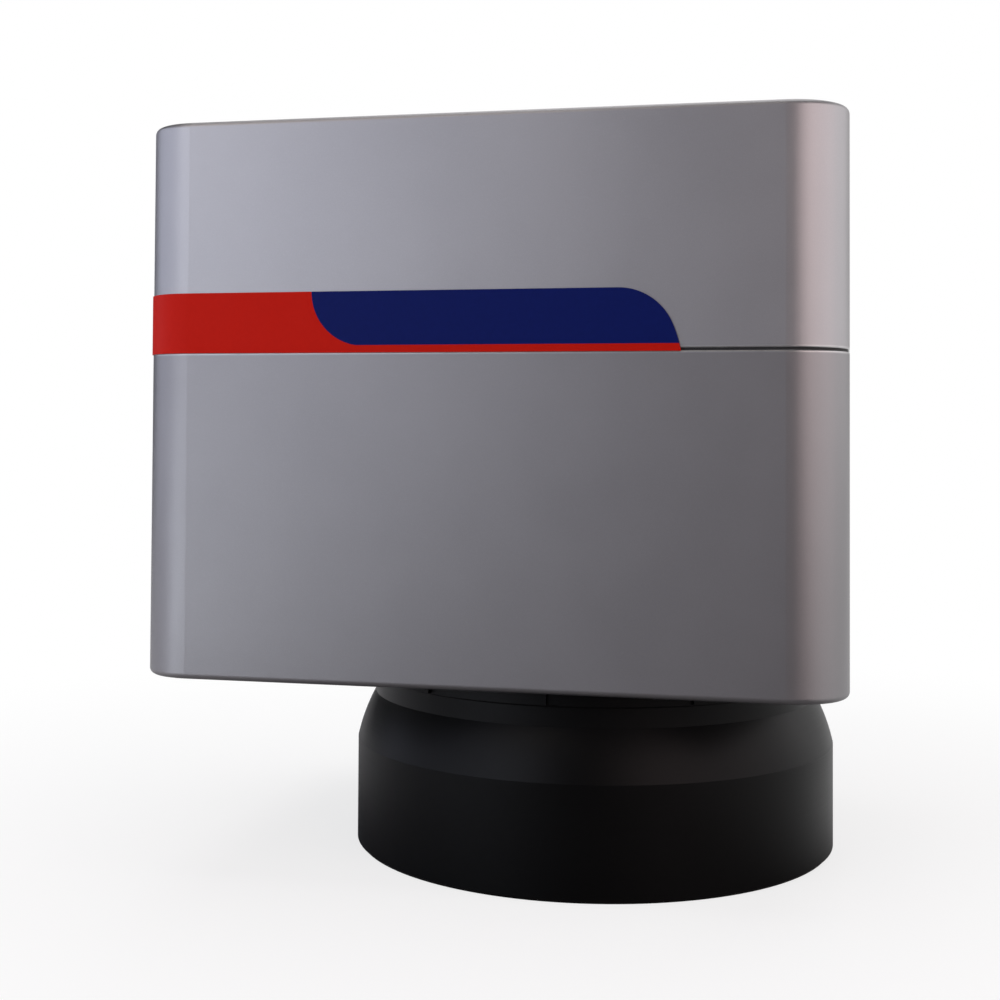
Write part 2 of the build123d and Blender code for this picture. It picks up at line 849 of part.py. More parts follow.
def mirror_holder(slot):
    """The round holder on the shaft's end, slotted for its mirror."""
    start = -holder_gap - holder_length
    holder = rod((0, 0, start), z_axis, holder_length, holder_radius)
    depth = holder_length - mirror_grip_length
    holder -= rod((0, 0, start + mirror_grip_length), z_axis, depth, shaft_radius + glue_gap)
    return holder - slot


x_mirror_end = -x_mirror_below_length - x_motor_front
y_mirror_end = -y_mirror_beyond_length - y_motor_setback
x_mirror_shape = (x_mirror_width, x_mirror_end, x_mirror_thickness)
y_mirror_shape = (y_mirror_width, y_mirror_end, y_mirror_thickness)
x_mirror_turn = 180 - mirror_angle
y_mirror_turn = mirror_angle


# ---------------------------------------------------------------- galvo mount
def galvo_mount():
    """The machined bracket that holds both motors at right angles."""
    mount = block(foot_start, foot_end, foot_front, foot_rear, floor_z, foot_top)
    mount += block(foot_start, pillar_end, pillar_front, pillar_rear, floor_z, base_top)
    mount += block(pillar_start, pillar_end, pillar_front, pillar_rear, floor_z, plate_top)
    mount += block(pillar_start, plate_end, pillar_front, plate_rear_width, plate_height, plate_top)
    mount += clamp_ear()
    bore = motor_radius + running_gap
    mount -= rod((pillar_start, lens_y, 0), x_axis, pillar_length, bore)
    mount -= rod((lens_x, 0, x_motor_front), z_axis, plate_thickness, bore)
    mount -= rod((lens_x, 0, plate_height), z_axis, motor_shoulder, motor_radius - motor_shoulder)
    slit = slit_width / 2
    mount -= block(lens_x + motor_radius / 2, plate_end, -slit, slit, plate_height, plate_top)
    slit_front = pillar_front - ear_depth
    mount -= block(pillar_start, pillar_end, slit_front, lens_y - motor_radius / 2, -slit, slit)
    for x, y in foot_screw_places():
        mount -= rod((x, y, floor_z), z_axis, foot_height, m4_radius + 2 * screw_gap)
    mount -= x_clamp_screw(screw_gap)
    mount -= y_clamp_screw(screw_gap)
    return mount


def clamp_ear():
    """The lug on the pillar that the Y motor's clamp screw closes."""
    start = (pillar_start + pillar_end - ear_length) / 2
    return block(start, start + ear_length, pillar_front - ear_depth, pillar_front, -ear_height, ear_height)


def mount_screws():
    """Four cap screws through the foot into the floor."""
    screws = []
    for x, y in foot_screw_places():
        bottom = floor_z - floor_screw_depth + screw_tip_gap
        screw = rod((x, y, bottom), z_axis, foot_top - bottom, m4_radius)
        screw += rod((x, y, foot_top), z_axis, m4_head_height, m4_head_radius)
        socket_z = foot_top + m4_head_height - m4_socket_depth
        screw -= hexagon_rod((x, y, socket_z), z_axis, m4_socket_depth, m4_socket_width)
        screws.append(screw)
    return screws


def clamp_screw(place, length, grow):
    """A sunk cap screw, drawn pointing down from its head's top face. The hole for it is a little larger."""
    head = rod((0, 0, -m3_head_height - grow), z_axis, m3_head_height + grow, m3_head_radius + grow)
    shank = rod((0, 0, -length - 2 * grow), z_axis, length + 2 * grow, m3_radius + grow)
    screw = head + shank
    if not grow:
        screw -= hexagon_rod((0, 0, -small_socket_depth), z_axis, small_socket_depth, small_socket_width)
    return place * screw


def x_clamp_screw(grow):
    """The screw that closes the plate's slit on the X motor."""
    x = (lens_x + motor_radius + plate_end) / 2
    z = (plate_height + plate_top) / 2
    place = Location(Plane(origin=(x, plate_rear_width, z), z_dir=(0, 1, 0)))
    return clamp_screw(place, plate_rear_width + motor_radius, grow)


def y_clamp_screw(grow):
    """The screw that closes the pillar's slit on the Y motor."""
    x = (pillar_start + pillar_end) / 2
    place = Location(Plane(origin=(x, pillar_front - ear_depth / 2, ear_height), z_dir=(0, 0, 1)))
    return clamp_screw(place, 2 * ear_height - screw_tip_gap, grow)


# ---------------------------------------------------------------- electronics
def board_hole_places():
    """The screw holes of a driver board, as X and Z."""
    for x in (board_start + standoff_inset, board_end - standoff_inset):
        for z in (lower_standoff_z, upper_standoff_z):
            yield x, z


def driver_board(start):
    """One driver board, from its side nearer the front."""
    board = block(board_start, board_end, start, start + board_thickness, board_bottom, board_top)
    for x, z in board_hole_places():
        board -= rod((x, start, z), y_axis, board_thickness, m3_radius + screw_gap)
    return board


def board_standoffs():
    """The threaded sleeves that hold the boards off the walls, and those behind the interface board."""
    sleeves = []
    inner = m3_radius + screw_gap
    for x, z in board_hole_places():
        sleeves.append(tube((x, front_wall_y, z), y_axis, standoff_length, standoff_radius, inner))
        sleeves.append(tube((x, rear_board_y, z), y_axis, standoff_length, standoff_radius, inner))
    for y, z in jack_places():
        start = cover_wall + flange_thickness
        sleeves.append(tube((start, y, z), x_axis, interface_gap, standoff_radius, inner))
    return sleeves


def board_screw(start, direction, length):
    """A pan-head screw whose head stands on a board's face."""
    screw = rod(start, direction, pan_head_height, standoff_radius)
    shank = rod(start, -direction, length, m3_radius)
    socket_start = Vector(*start) + direction * (pan_head_height - pan_socket_depth)
    socket = hexagon_rod(socket_start, direction, pan_socket_depth, pan_socket_width)
    return screw + shank - socket


def board_screws():
    """All screws that hold the three boards."""
    screws = []
    length = board_thickness + standoff_length - screw_tip_gap
    for x, z in board_hole_places():
        screws.append(board_screw((x, front_board_face, z), y_axis, length))
        screws.append(board_screw((x, rear_board_face, z), -y_axis, length))
    for y, z in jack_places():
        screws.append(board_screw((interface_face, y, z), x_axis, board_thickness + interface_gap / 2))
    return screws


def on_board(x, z, size, rear):
    """A block on a driver board, given by its centre in X and Z and its width, height and depth."""
    width, height, depth = size
    if rear:
        y0, y1 = rear_board_face - depth, rear_board_face
    else:
        y0, y1 = front_board_face, front_board_face + depth
    return block(x - width / 2, x + width / 2, y0, y1, z - height / 2, z + height / 2)


def board_chips():
    """The flat chips, in rows along both driver boards, and one larger chip beside them."""
    chips = []
    large = (large_chip_width, large_chip_height, large_chip_thickness)
    small = (small_chip_width, small_chip_height, small_chip_thickness)
    processor = (processor_width, processor_width, processor_thickness)
    first = board_end - chip_end_inset - (chip_columns - 1) * chip_pitch
    for rear in (False, True):
        for index in range(chip_columns):
            x = first + index * chip_pitch
            chips.append(on_board(x, board_top - large_chip_drop, large, rear))
            chips.append(on_board(x, board_top - small_chip_drop, small, rear))
        chips.append(on_board(first - chip_pitch, board_top - processor_drop, processor, rear))
    return chips


def board_capacitors():
    """The upright can capacitors on both boards."""
    cans = []
    sides = ((front_board_face, y_axis, front_part_height), (rear_board_face, -y_axis, rear_part_height))
    for face, direction, height in sides:
        for index in range(can_count):
            x = board_end - can_end_inset - index * can_pitch
            cans.append(rod((x, face, board_bottom + can_rise), direction, height, can_radius))
    return cans


def board_transistors():
    """The power transistors along the lower edge of both boards, each with its metal tab above it."""
    bodies = []
    body_size = (transistor_width, transistor_height, transistor_thickness)
    tab_size = (transistor_width, transistor_tab_height, transistor_tab_thickness)
    body_z = board_bottom + transistor_rise
    tab_z = body_z + (transistor_height + transistor_tab_height) / 2
    for rear in (False, True):
        for index in range(transistor_count):
            x = board_start + transistor_inset + index * transistor_pitch
            body = on_board(x, body_z, body_size, rear)
            bodies.append(body + on_board(x, tab_z, tab_size, rear))
    return bodies


def board_headers():
    """The plugs that the leads and ribbons end in, on all three boards."""
    plugs = []
    tall = ribbon_width + 2 * ribbon_plug_margin
    for rear, depth in ((False, front_part_height), (True, rear_part_height)):
        plugs.append(on_board(ribbon_x, ribbon_z, (header_width, tall, depth), rear))
    plugs.append(on_board(y_lead_x, y_lead_z, (lead_plug_width, lead_plug_height, front_part_height), False))
    plugs.append(on_board(x_lead_x, x_lead_z, (lead_plug_width, lead_plug_height, rear_part_height), True))
    low, high = ribbon_z - tall / 2, ribbon_z + tall / 2
    half = header_width / 2
    for y in ribbon_starts:
        plugs.append(block(interface_face, header_face, y - half, y + half, low, high))
    return plugs


def ribbon_cables():
    """Two flat ribbons, each bent once, from the interface board to the driver boards."""
    ribbons = []
    low = ribbon_z - ribbon_width / 2
    for start, end in zip(ribbon_starts, (front_header_face, rear_header_face)):
        bend = 0.45 * min(ribbon_run, abs(end - start))
        route = FilletPolyline((header_face, start), (ribbon_x, start), (ribbon_x, end), radius=bend)
        ribbons.append(Pos(0, 0, low) * extrude(trace(route, ribbon_thickness), ribbon_width))
        print(f"ribbon: bend radius {bend:.2f}")
    return ribbons


def motor_lead(route):
    """One lead along a route with one square turn, bent as gently as its shorter run allows."""
    runs = [(Vector(*b) - Vector(*a)).length for a, b in zip(route, route[1:])]
    bend = 0.45 * min(runs) / tan(radians(90) / 2)
    path = FilletPolyline(*route, radius=bend)
    section = Plane(origin=path @ 0, z_dir=path % 0) * Circle(lead_radius)
    lead = sweep(section, path)
    wanted = path.length * pi * lead_radius**2
    print(f"lead: bend radius {bend:.2f}, volume {lead.volume:.2f}, section times length {wanted:.2f}")
    return lead


def motor_leads():
    """The two motor leads, from each motor's cap to its board's plug."""
    x_lead = motor_lead(
        [
            (lens_x - motor_radius, 0, x_lead_z),
            (x_lead_x, 0, x_lead_z),
            (x_lead_x, rear_header_face, x_lead_z),
        ]
    )
    y_lead = motor_lead(
        [
            (y_lead_x, lens_y, motor_radius),
            (y_lead_x, lens_y, y_lead_z),
            (y_lead_x, front_header_face, y_lead_z),
        ]
    )
    return x_lead, y_lead


# ---------------------------------------------------------------- connectors
def connector_rows():
    """The two connectors on the end wall, each as shell width and height."""
    return ((signal_shell_width, signal_height), (power_shell_width, power_height))


def wall_place(x, height):
    """A plane across the end wall: its first axis is +Y, its second +Z, and it faces +X."""
    return Plane(origin=(x, lens_y, height), x_dir=(0, 1, 0), z_dir=(1, 0, 0))


def shell_outline(width, grow):
    """The keyed outline of a connector shell: wide at the top, slanted sides, round corners."""
    half = width / 2
    rise = shell_height / 2
    foot = half - shell_height * tan(radians(shell_slant))
    outline = make_face(Polyline((-half, rise), (half, rise), (foot, -rise), (-foot, -rise), close=True))
    outline = fillet(outline.vertices(), shell_corner)
    return offset(outline, grow) if grow else outline


def jack_places():
    """The four jack posts beside the connectors, as Y and Z."""
    for width, height in connector_rows():
        for side in (-1, 1):
            yield lens_y + side * (width + shell_to_posts) / 2, height


def connector_shell(width, height):
    """A connector's metal shell and its flange behind the wall."""
    length = shell_outer_length + cover_wall + flange_thickness
    shell = extrude(shell_outline(width, 0), length)
    body = wall_place(-shell_outer_length, height) * shell
    flange_width = width + shell_to_posts + flange_margin
    flange = extrude(RectangleRounded(flange_width, flange_height, flange_corner), flange_thickness)
    body += wall_place(cover_wall, height) * flange
    inside = extrude(shell_outline(width, -shell_thickness), length)
    body -= wall_place(-shell_outer_length, height) * inside
    for y, z in jack_places():
        if z == height:
            body -= rod((cover_wall, y, z), x_axis, flange_thickness, jack_stud_radius + screw_gap)
    return body


def connector_insert(width, height, upper_count):
    """A connector's plastic insert, with two rows of contact holes, and its block behind the flange."""
    start = -shell_outer_length + insert_setback
    length = cover_wall + flange_thickness - start
    insert = wall_place(start, height) * extrude(shell_outline(width, -shell_thickness - fit_gap), length)
    half = width / 2
    rise = shell_height / 2 + insert_block_margin
    rear = cover_wall + flange_thickness
    insert += block(rear, interface_x, lens_y - half, lens_y + half, height - rise, height + rise)
    holes = []
    contact_pitch = (width - contact_margin) / (upper_count - 1)
    for count, rise in ((upper_count, contact_row_gap / 2), (upper_count - 1, -contact_row_gap / 2)):
        for index in range(count):
            y = lens_y + (index - (count - 1) / 2) * contact_pitch
            holes.append(rod((start, y, height + rise), x_axis, contact_depth, contact_radius))
    return insert - holes


def jack_posts():
    """Four hexagon posts outside the wall, each with a stud into its sleeve."""
    posts = []
    for y, z in jack_places():
        post = hexagon_rod((-jack_length, y, z), x_axis, jack_length, jack_hex_width)
        post -= rod((-jack_length, y, z), x_axis, jack_length - jack_hole_end, jack_hole_radius)
        reach = cover_wall + flange_thickness + interface_gap / 2 - jack_tip_gap
        post += rod((0, y, z), x_axis, reach, jack_stud_radius)
        posts.append(post)
    return posts


def interface_board():
    """The upright board behind the connectors."""
    front, rear = lens_y - interface_half_width, lens_y + interface_half_width
    low, high = cover_z + interface_rise, ceiling_z - interface_ceiling_gap
    board = block(interface_x, interface_face, front, rear, low, high)
    for y, z in jack_places():
        board -= rod((interface_x, y, z), x_axis, board_thickness, m3_radius + screw_gap)
    return board


# ---------------------------------------------------------------- all nodes
def save_motor(name, place, shape, turn):
    """Writes one galvo: the motor's fixed pieces, and the pieces that turn with its shaft."""
    width, reach, thickness = shape
    save(f"{name}_motor_case", place * motor_case())
    save(f"{name}_motor_cap", place * motor_cap())
    save(f"{name}_coil", place * motor_coil())
    save(f"{name}_bearings", place * motor_bearings())
    save(f"{name}_shaft", place * motor_shaft())
    save(f"{name}_magnet", place * motor_magnet())
    save(f"{name}_vane", place * motor_vane())
    save(f"{name}_mirror", place * mirror_plate(width, reach, thickness, 0, turn))
    slot = mirror_plate(width, reach, thickness, glue_gap, turn)
    save(f"{name}_mirror_holder", place * mirror_holder(slot))


def main():
    os.makedirs("parts", exist_ok=True)
    save("lower_housing", lower_housing())
    save("upper_cover", upper_cover())
    save("seam_gasket", seam_gasket())
    save("label_band", label_band())
    save("label_panel", label_panel())
    save("cover_posts", *cover_posts())
    save("cover_screws", *cover_screws())
    save("inlet_retainer", inlet_retainer())
    save("inlet_window", inlet_window())
    save("inlet_seal", inlet_seal())
    save("lens_lock_ring", lens_lock_ring())
    save("lens_barrel", lens_barrel())
    save("entrance_lens", entrance_lens())
    save("middle_lens", middle_lens())
    save("exit_lens", exit_lens())
    save("upper_spacer", upper_spacer())
    save("lower_spacer", lower_spacer())
    save("lens_retainer", lens_retainer())
    save("cover_glass", cover_glass())
    save("cover_glass_seal", cover_glass_seal())
    save("cover_glass_retainer", cover_glass_retainer())
    save("galvo_mount", galvo_mount())
    save("mount_screws", *mount_screws())
    save("clamp_screws", x_clamp_screw(0), y_clamp_screw(0))
    save_motor("x", x_motor_place, x_mirror_shape, x_mirror_turn)
    save_motor("y", y_motor_place, y_mirror_shape, y_mirror_turn)
    save("detector_boards", x_motor_place * motor_detector(), y_motor_place * motor_detector())
    save("front_driver_board", driver_board(front_board_y))
    save("rear_driver_board", driver_board(rear_board_face))
    save("board_standoffs", *board_standoffs())
    save("board_screws", *board_screws())
    save("board_chips", *board_chips())
    save("board_capacitors", *board_capacitors())
    save("board_transistors", *board_transistors())
    save("board_headers", *board_headers())
    save("interface_board", interface_board())
    save("signal_connector", connector_shell(signal_shell_width, signal_height))
    save("signal_insert", connector_insert(signal_shell_width, signal_height, signal_top_row))
    save("power_connector", connector_shell(power_shell_width, power_height))
    save("power_insert", connector_insert(power_shell_width, power_height, power_top_row))
    save("jack_posts", *jack_posts())
    save("motor_leads", *motor_leads())
    save("ribbon_cables", *ribbon_cables())


main()
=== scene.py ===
# %% [markdown]
# # Dressing a galvo scanner head
# A galvo scanner head steers a laser beam with two small mirrors and sends it down through a wide
# lens. The solid model already gives every part its exact shape and place. What it lacks is
# surface: the satin coat on the case, the printed band, the turned black lens, and the small
# things on the circuit boards. This lesson adds those one at a time. The first step loads the
# solid model and keeps its size, because nothing that we add may make the object bigger.

# %% Load the solid model
import json
from math import pi

import bmesh
import bpy
from bmesh.types import BMEdge, BMVert
from mathutils import Matrix, Vector


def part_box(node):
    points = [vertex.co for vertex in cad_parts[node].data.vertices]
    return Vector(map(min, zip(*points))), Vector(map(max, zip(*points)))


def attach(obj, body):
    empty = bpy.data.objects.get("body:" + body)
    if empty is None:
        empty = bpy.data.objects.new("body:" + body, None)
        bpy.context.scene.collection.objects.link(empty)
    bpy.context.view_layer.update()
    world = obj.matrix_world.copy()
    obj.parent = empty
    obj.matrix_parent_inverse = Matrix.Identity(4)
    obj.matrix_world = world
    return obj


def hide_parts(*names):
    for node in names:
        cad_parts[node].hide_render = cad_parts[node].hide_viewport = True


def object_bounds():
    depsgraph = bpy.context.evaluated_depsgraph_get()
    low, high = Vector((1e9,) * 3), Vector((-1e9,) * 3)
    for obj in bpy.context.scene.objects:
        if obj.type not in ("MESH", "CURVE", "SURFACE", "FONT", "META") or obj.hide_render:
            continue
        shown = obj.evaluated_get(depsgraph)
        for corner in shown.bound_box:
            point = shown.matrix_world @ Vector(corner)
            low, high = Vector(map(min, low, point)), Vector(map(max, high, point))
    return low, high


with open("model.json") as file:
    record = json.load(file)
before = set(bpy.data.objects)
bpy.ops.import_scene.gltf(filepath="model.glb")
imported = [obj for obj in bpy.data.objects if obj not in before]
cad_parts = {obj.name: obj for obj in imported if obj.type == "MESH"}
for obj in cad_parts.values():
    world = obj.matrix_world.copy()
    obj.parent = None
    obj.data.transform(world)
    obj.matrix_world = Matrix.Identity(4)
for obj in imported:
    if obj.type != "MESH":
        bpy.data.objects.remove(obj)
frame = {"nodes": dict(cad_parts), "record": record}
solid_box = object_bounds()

mm = 0.001
scene = bpy.context.scene
lens_low, lens_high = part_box("lens_barrel")
lens_axis = (lens_low + lens_high) / 2
print(len(frame["nodes"]), "parts in the solid model")
print("size in millimetres", [round((high - low) / mm, 1) for low, high in zip(*solid_box)])

# %% [markdown]
# ## The camera
# The head is seen from a little right of its middle, at the height of the lower case, from about
# a third of a metre away. That is close, so the near end of the case looks taller than the far
# end. A lens of about 56 mm on a 36 mm sensor gives that spread of angles. A small downward shift
# keeps the upright edges upright and still shows the whole lens, which tilting the camera would
# not.

# %% Set up the camera
camera_place = Vector((0.12169, -0.31573, 0.01577))
camera_turn = 0.2190
camera_tilt = 0.0264
camera_roll = 0.0055
focal_length = 55.78
sensor_width = 36
downward_shift = -0.1126

camera_data = bpy.data.cameras.new("camera")
camera_data.sensor_width = sensor_width
camera_data.lens = focal_length
camera_data.shift_y = downward_shift
camera = bpy.data.objects.new("camera", camera_data)
aim = Matrix.Rotation(camera_turn, 4, "Z") @ Matrix.Rotation(pi / 2 + camera_tilt, 4, "X")
camera.matrix_world = Matrix.Translation(camera_place) @ aim @ Matrix.Rotation(camera_roll, 4, "Z")
scene.collection.objects.link(camera)
scene.camera = camera
scene.view_settings.view_transform = "Standard"
print("camera at", [round(value, 3) for value in camera_place])

# %% [markdown]
# ## Mixing finishes in Python
# A material in Blender is a graph of nodes. Dozens of nodes wired by hand are hard to read, so we
# wrap a node's output in a small class that knows how to add and multiply. After that, a mask
# such as `1 - speckle * 0.2` can be written as it is thought, and the nodes appear behind it.

# %% A value that can be used in sums
class Value:
    """A number or colour that comes out of a node."""

    def __init__(self, mixture, socket):
        self.mixture = mixture
        self.socket = socket

    def __add__(self, other):
        return self.mixture.maths("ADD", self, other)

    def __radd__(self, other):
        return self.mixture.maths("ADD", other, self)

    def __sub__(self, other):
        return self.mixture.maths("SUBTRACT", self, other)

    def __rsub__(self, other):
        return self.mixture.maths("SUBTRACT", other, self)

    def __mul__(self, other):
        return self.mixture.maths("MULTIPLY", self, other)

    def __rmul__(self, other):
        return self.mixture.maths("MULTIPLY", other, self)


print("values can be added, subtracted and multiplied")

# %% [markdown]
# A `Mixture` adds nodes to one graph. Its `node` method adds any node: first its settings, such
# as a Math node's operation, then what goes into its sockets, which may be plain numbers or other
# values. The other methods are the few mixtures that nearly every finish below needs.

# %% The nodes of one graph
class Mixture:
    """A graph of nodes that is being mixed."""

    def __init__(self, tree):
        self.tree = tree

    def node(self, kind, settings=None, values=None, out=0):
        node = self.tree.nodes.new("ShaderNode" + kind)
        for name, setting in (settings or {}).items():
            setattr(node, name, setting)
        for name, value in (values or {}).items():
            self.feed(node.inputs[name], value)
        return Value(self, node.outputs[out])

    def feed(self, socket, value):
        if isinstance(value, Value):
            self.tree.links.new(value.socket, socket)
        else:
            socket.default_value = value

    def maths(self, operation, *values):
        return self.node("Math", {"operation": operation}, dict(enumerate(values)))

    def mix(self, share, first, second):
        """The first colour where share is 0 and the second where it is 1."""
        return self.node("Mix", {"data_type": "RGBA"}, {0: share, 6: first, 7: second}, out=2)

    def vector(self, operation, first, second, out="Vector"):
        """Maths on two vectors. Out is Value where the answer is a plain number."""
        return self.node("VectorMath", {"operation": operation}, {0: first, 1: second}, out=out)

    def dot(self, value, direction):
        """How far a vector reaches along a direction."""
        return self.vector("DOT_PRODUCT", value, direction, out="Value")

    def distance(self, first, second):
        """How far apart two points are."""
        return self.vector("DISTANCE", first, second, out="Value")

    def steps(self, value, low, high, to_low=0.0, to_high=1.0):
        """A soft step from to_low to to_high as the value goes from low to high."""
        values = {0: value, 1: low, 2: high, 3: to_low, 4: to_high}
        return self.node("MapRange", {"interpolation_type": "SMOOTHSTEP"}, values)


print("a mixture can add any node")

# %% [markdown]
# A `Finish` is a mixture that ends in one Principled shader. Its patterns are placed by Object
# coordinates, which are metres on the part itself, so a scale of 5000 is a grain of a fifth of a
# millimetre. What is the same all over a part is set on the shader once. Only what changes from
# place to place is fed by nodes.

# %% One material
class Finish(Mixture):
    """A material with its patterns laid out in metres on the part."""

    def __init__(self, name, **constants):
        self.material = bpy.data.materials.new(name)
        self.material.use_nodes = True
        super().__init__(self.material.node_tree)
        self.shader = self.tree.nodes["Principled BSDF"]
        self.set(**constants)

    def set(self, **values):
        for socket, value in values.items():
            self.feed(self.shader.inputs[socket.replace("_", " ")], value)
        return self.material

    def place(self):
        return self.node("TexCoord", out="Object")

    def along(self, axis):
        return self.node("SeparateXYZ", values={0: self.place()}, out=axis)

    def facing(self, direction):
        """1 where the surface looks along a direction and 0 where it looks away."""
        return self.dot(self.node("NewGeometry", out="Normal"), direction)

    def noise(self, scale, detail=2.0, roughness=0.5):
        """Noise of that scale. A scale of three numbers stretches it along one axis."""
        if isinstance(scale, tuple):
            place = self.node("Mapping", values={"Vector": self.place(), "Scale": scale})
            scale = 1.0
        else:
            place = self.place()
        values = {"Vector": place, "Scale": scale, "Detail": detail, "Roughness": roughness}
        return self.node("TexNoise", values=values)

    def ridges(self, axis, pitch):
        """Even ridges along an axis, from -1 to 1."""
        return self.maths("SINE", self.along(axis) * (2 * pi / pitch))

    def relief(self, height, depth, strength=1.0):
        """A height from 0 to 1, turned into a relief of that depth in metres."""
        return self.node("Bump", values={"Strength": strength, "Distance": depth, "Height": height})


def grey(level):
    """A neutral colour, given as the share of light that it gives back."""
    return (level, level, level, 1)


finishes = {}
print("a finish ends in one shader")

# %% [markdown]
# ## Satin silver coat
# The case is machined aluminium under a fine silver-grey coat. Close up it has a grain of about a
# fifth of a millimetre, and it is neither mirror nor chalk: it shows light as broad soft pools.
# Metal with a middling roughness gives those pools. The grain goes into the relief and a little
# into the roughness, and slow clouds of tone stop the large faces looking printed. The cover's
# coat is a lighter grey than the housing's: painted light, as if the upper shell were lit more.
# Along each edge of the seam a thin line is painted paler, in patches, and made smoother: a
# painted highlight.

# %% Mix the satin coat
def satin_coat(name, dark, light, seam_height, seam_side):
    coat = Finish(name, Metallic=0.92)
    grain = coat.noise(5200, 3, 0.6)
    cloud = coat.noise(24, 3, 0.55)
    fleck = coat.steps(coat.noise(9500, 1), 0.62, 0.75)
    tone = coat.steps(cloud * 0.75 + grain * 0.25, 0.3, 0.7)
    from_seam = (coat.along("Z") - seam_height) * seam_side
    patchy = coat.steps(coat.noise(400, 3), 0.2, 0.5, 0.6, 1.0)
    # Painted highlight: a thin paler, smoother line along the seam edge, in patches.
    seam_highlight = coat.steps(from_seam, 0.55 * mm, 0.05 * mm) * patchy
    plain = coat.mix(tone, dark, light)
    speckled = coat.mix(fleck * 0.35, plain, (*(1.25 * level for level in light[:3]), 1))
    return coat.set(
        Base_Color=coat.mix(seam_highlight * 0.6, speckled, grey(0.60)),
        Roughness=0.39 + cloud * 0.06 + grain * 0.04 - seam_highlight * 0.12,
        Normal=coat.relief(grain, 0.02 * mm, 0.4),
    )


seam_low, seam_high = (corner.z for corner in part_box("seam_gasket"))
# Painted light: the cover's tones are lighter than the housing's, as if the upper shell were lit
# more.
lit_cover_tones = ((0.296, 0.291, 0.300, 1), (0.328, 0.323, 0.332, 1))
shaded_housing_tones = ((0.224, 0.219, 0.226, 1), (0.250, 0.245, 0.252, 1))
finishes["lit cover coat"] = satin_coat("silver coat of the cover, painted lighter", *lit_cover_tones, seam_high, 1)
finishes["shell_metal"] = satin_coat("silver coat of the housing, painted darker", *shaded_housing_tones, seam_low, -1)
print("two silver coats, seam from", round(seam_low / mm, 2), "to", round(seam_high / mm, 2), "mm")

# %% [markdown]
# ## The printed band
# The red band and the blue panel are one printed film. Print on film is smooth and even with a
# soft shine. A faint mottling of the ink and a very shallow orange peel keep it from looking like
# a computer colour. Where the film's cut edge faces up or down it is painted paler, towards grey:
# a painted highlight.

# %% Mix the printed films
def printed_film(slot, name, dark, light):
    film = Finish(name, IOR=1.4, Specular_IOR_Level=0.08)
    mottle = film.noise(1400, 3, 0.6)
    peel = film.noise(300, 2)
    # Painted highlight: the film's edges that face up or down are paled towards grey.
    edge_highlight = film.steps(film.maths("ABSOLUTE", film.facing((0, 0, 1))), 0.5, 0.9)
    ink = film.mix(mottle, dark, light)
    finishes[slot] = film.set(
        Base_Color=film.mix(edge_highlight * 0.5, ink, grey(0.5)),
        Roughness=0.44 + peel * 0.12,
        Normal=film.relief(peel, 0.03 * mm, 0.3),
    )


printed_film("label_red", "red film", (0.43, 0.0065, 0.0018, 1), (0.48, 0.0085, 0.0025, 1))
printed_film("label_blue", "blue film", (0.0025, 0.0075, 0.082, 1), (0.0035, 0.0095, 0.100, 1))
print("two inks on film")

# %% [markdown]
# ## Black anodised aluminium
# The lens barrel and its rings are turned on a lathe and anodised black. Turning leaves very fine
# rings, a few hundredths of a millimetre apart, and the anodising dulls them to a satin black
# that still catches a long highlight. Noise that is squeezed along the height makes such rings
# without repeating. The barrel's upper end is a thread of 1 mm pitch, and a sine of the height is
# enough to cut it in relief.

# %% Mix the black finish
thread_pitch = 1.0 * mm
thread_length = 9.5 * mm
thread_foot = (42.3 * mm, 42.45 * mm)


def black_anodised(name, thread_from=None):
    black = Finish(name, Metallic=0.5, IOR=1.45, Specular_IOR_Level=0.2)
    lines = black.noise((30, 30, 9000), 4, 0.7)
    haze = black.noise(70, 3)
    surface = lines * 0.03
    if thread_from is not None:
        flat_place = black.vector("MULTIPLY", black.place(), (1, 1, 0))
        radius = black.distance(flat_place, (lens_axis.x, lens_axis.y, 0))
        outside = black.steps(radius, *thread_foot)
        above = black.steps(black.along("Z"), thread_from - 0.1 * mm, thread_from + 0.1 * mm)
        surface = surface + outside * above * black.ridges("Z", thread_pitch)
    return black.set(
        Base_Color=black.mix(haze, (0.0024, 0.0024, 0.0025, 1), (0.0038, 0.0038, 0.0040, 1)),
        Roughness=0.35 + lines * 0.08 + haze * 0.06,
        Normal=black.relief(surface, 0.25 * mm, 0.5),
    )


thread_end = lens_high.z - thread_length
finishes["black_anodised"] = black_anodised("black anodised")
finishes["black barrel"] = black_anodised("black anodised barrel", thread_end)
print("black anodising, threaded above", round(thread_end / mm, 1), "mm")

# %% [markdown]
# ## Machined and ground metals
# Inside the case most parts are bare metal, and what tells them apart is the tool that cut them.
# A mill leaves straight lanes, a lathe leaves rings, and a grinder leaves a nearly even shine
# with fine scratches. All of these are the same noise, squeezed along a different axis, so one
# function makes them and takes the colour, the squeeze, the roughness and how deep the lines go.

# %% Mix the bare metals
def bare_metal(slot, name, colour, squeeze, roughness, depth):
    metal = Finish(name, Metallic=1.0)
    lines = metal.noise(squeeze, 3, 0.65)
    stain = metal.noise(180, 3)
    dark = (*(0.82 * level for level in colour), 1)
    finishes[slot] = metal.set(
        Base_Color=metal.mix(stain * 0.6 + lines * 0.4, dark, (*colour, 1)),
        Roughness=roughness + lines * 0.12 + stain * 0.06,
        Normal=metal.relief(lines, depth, 0.5),
    )


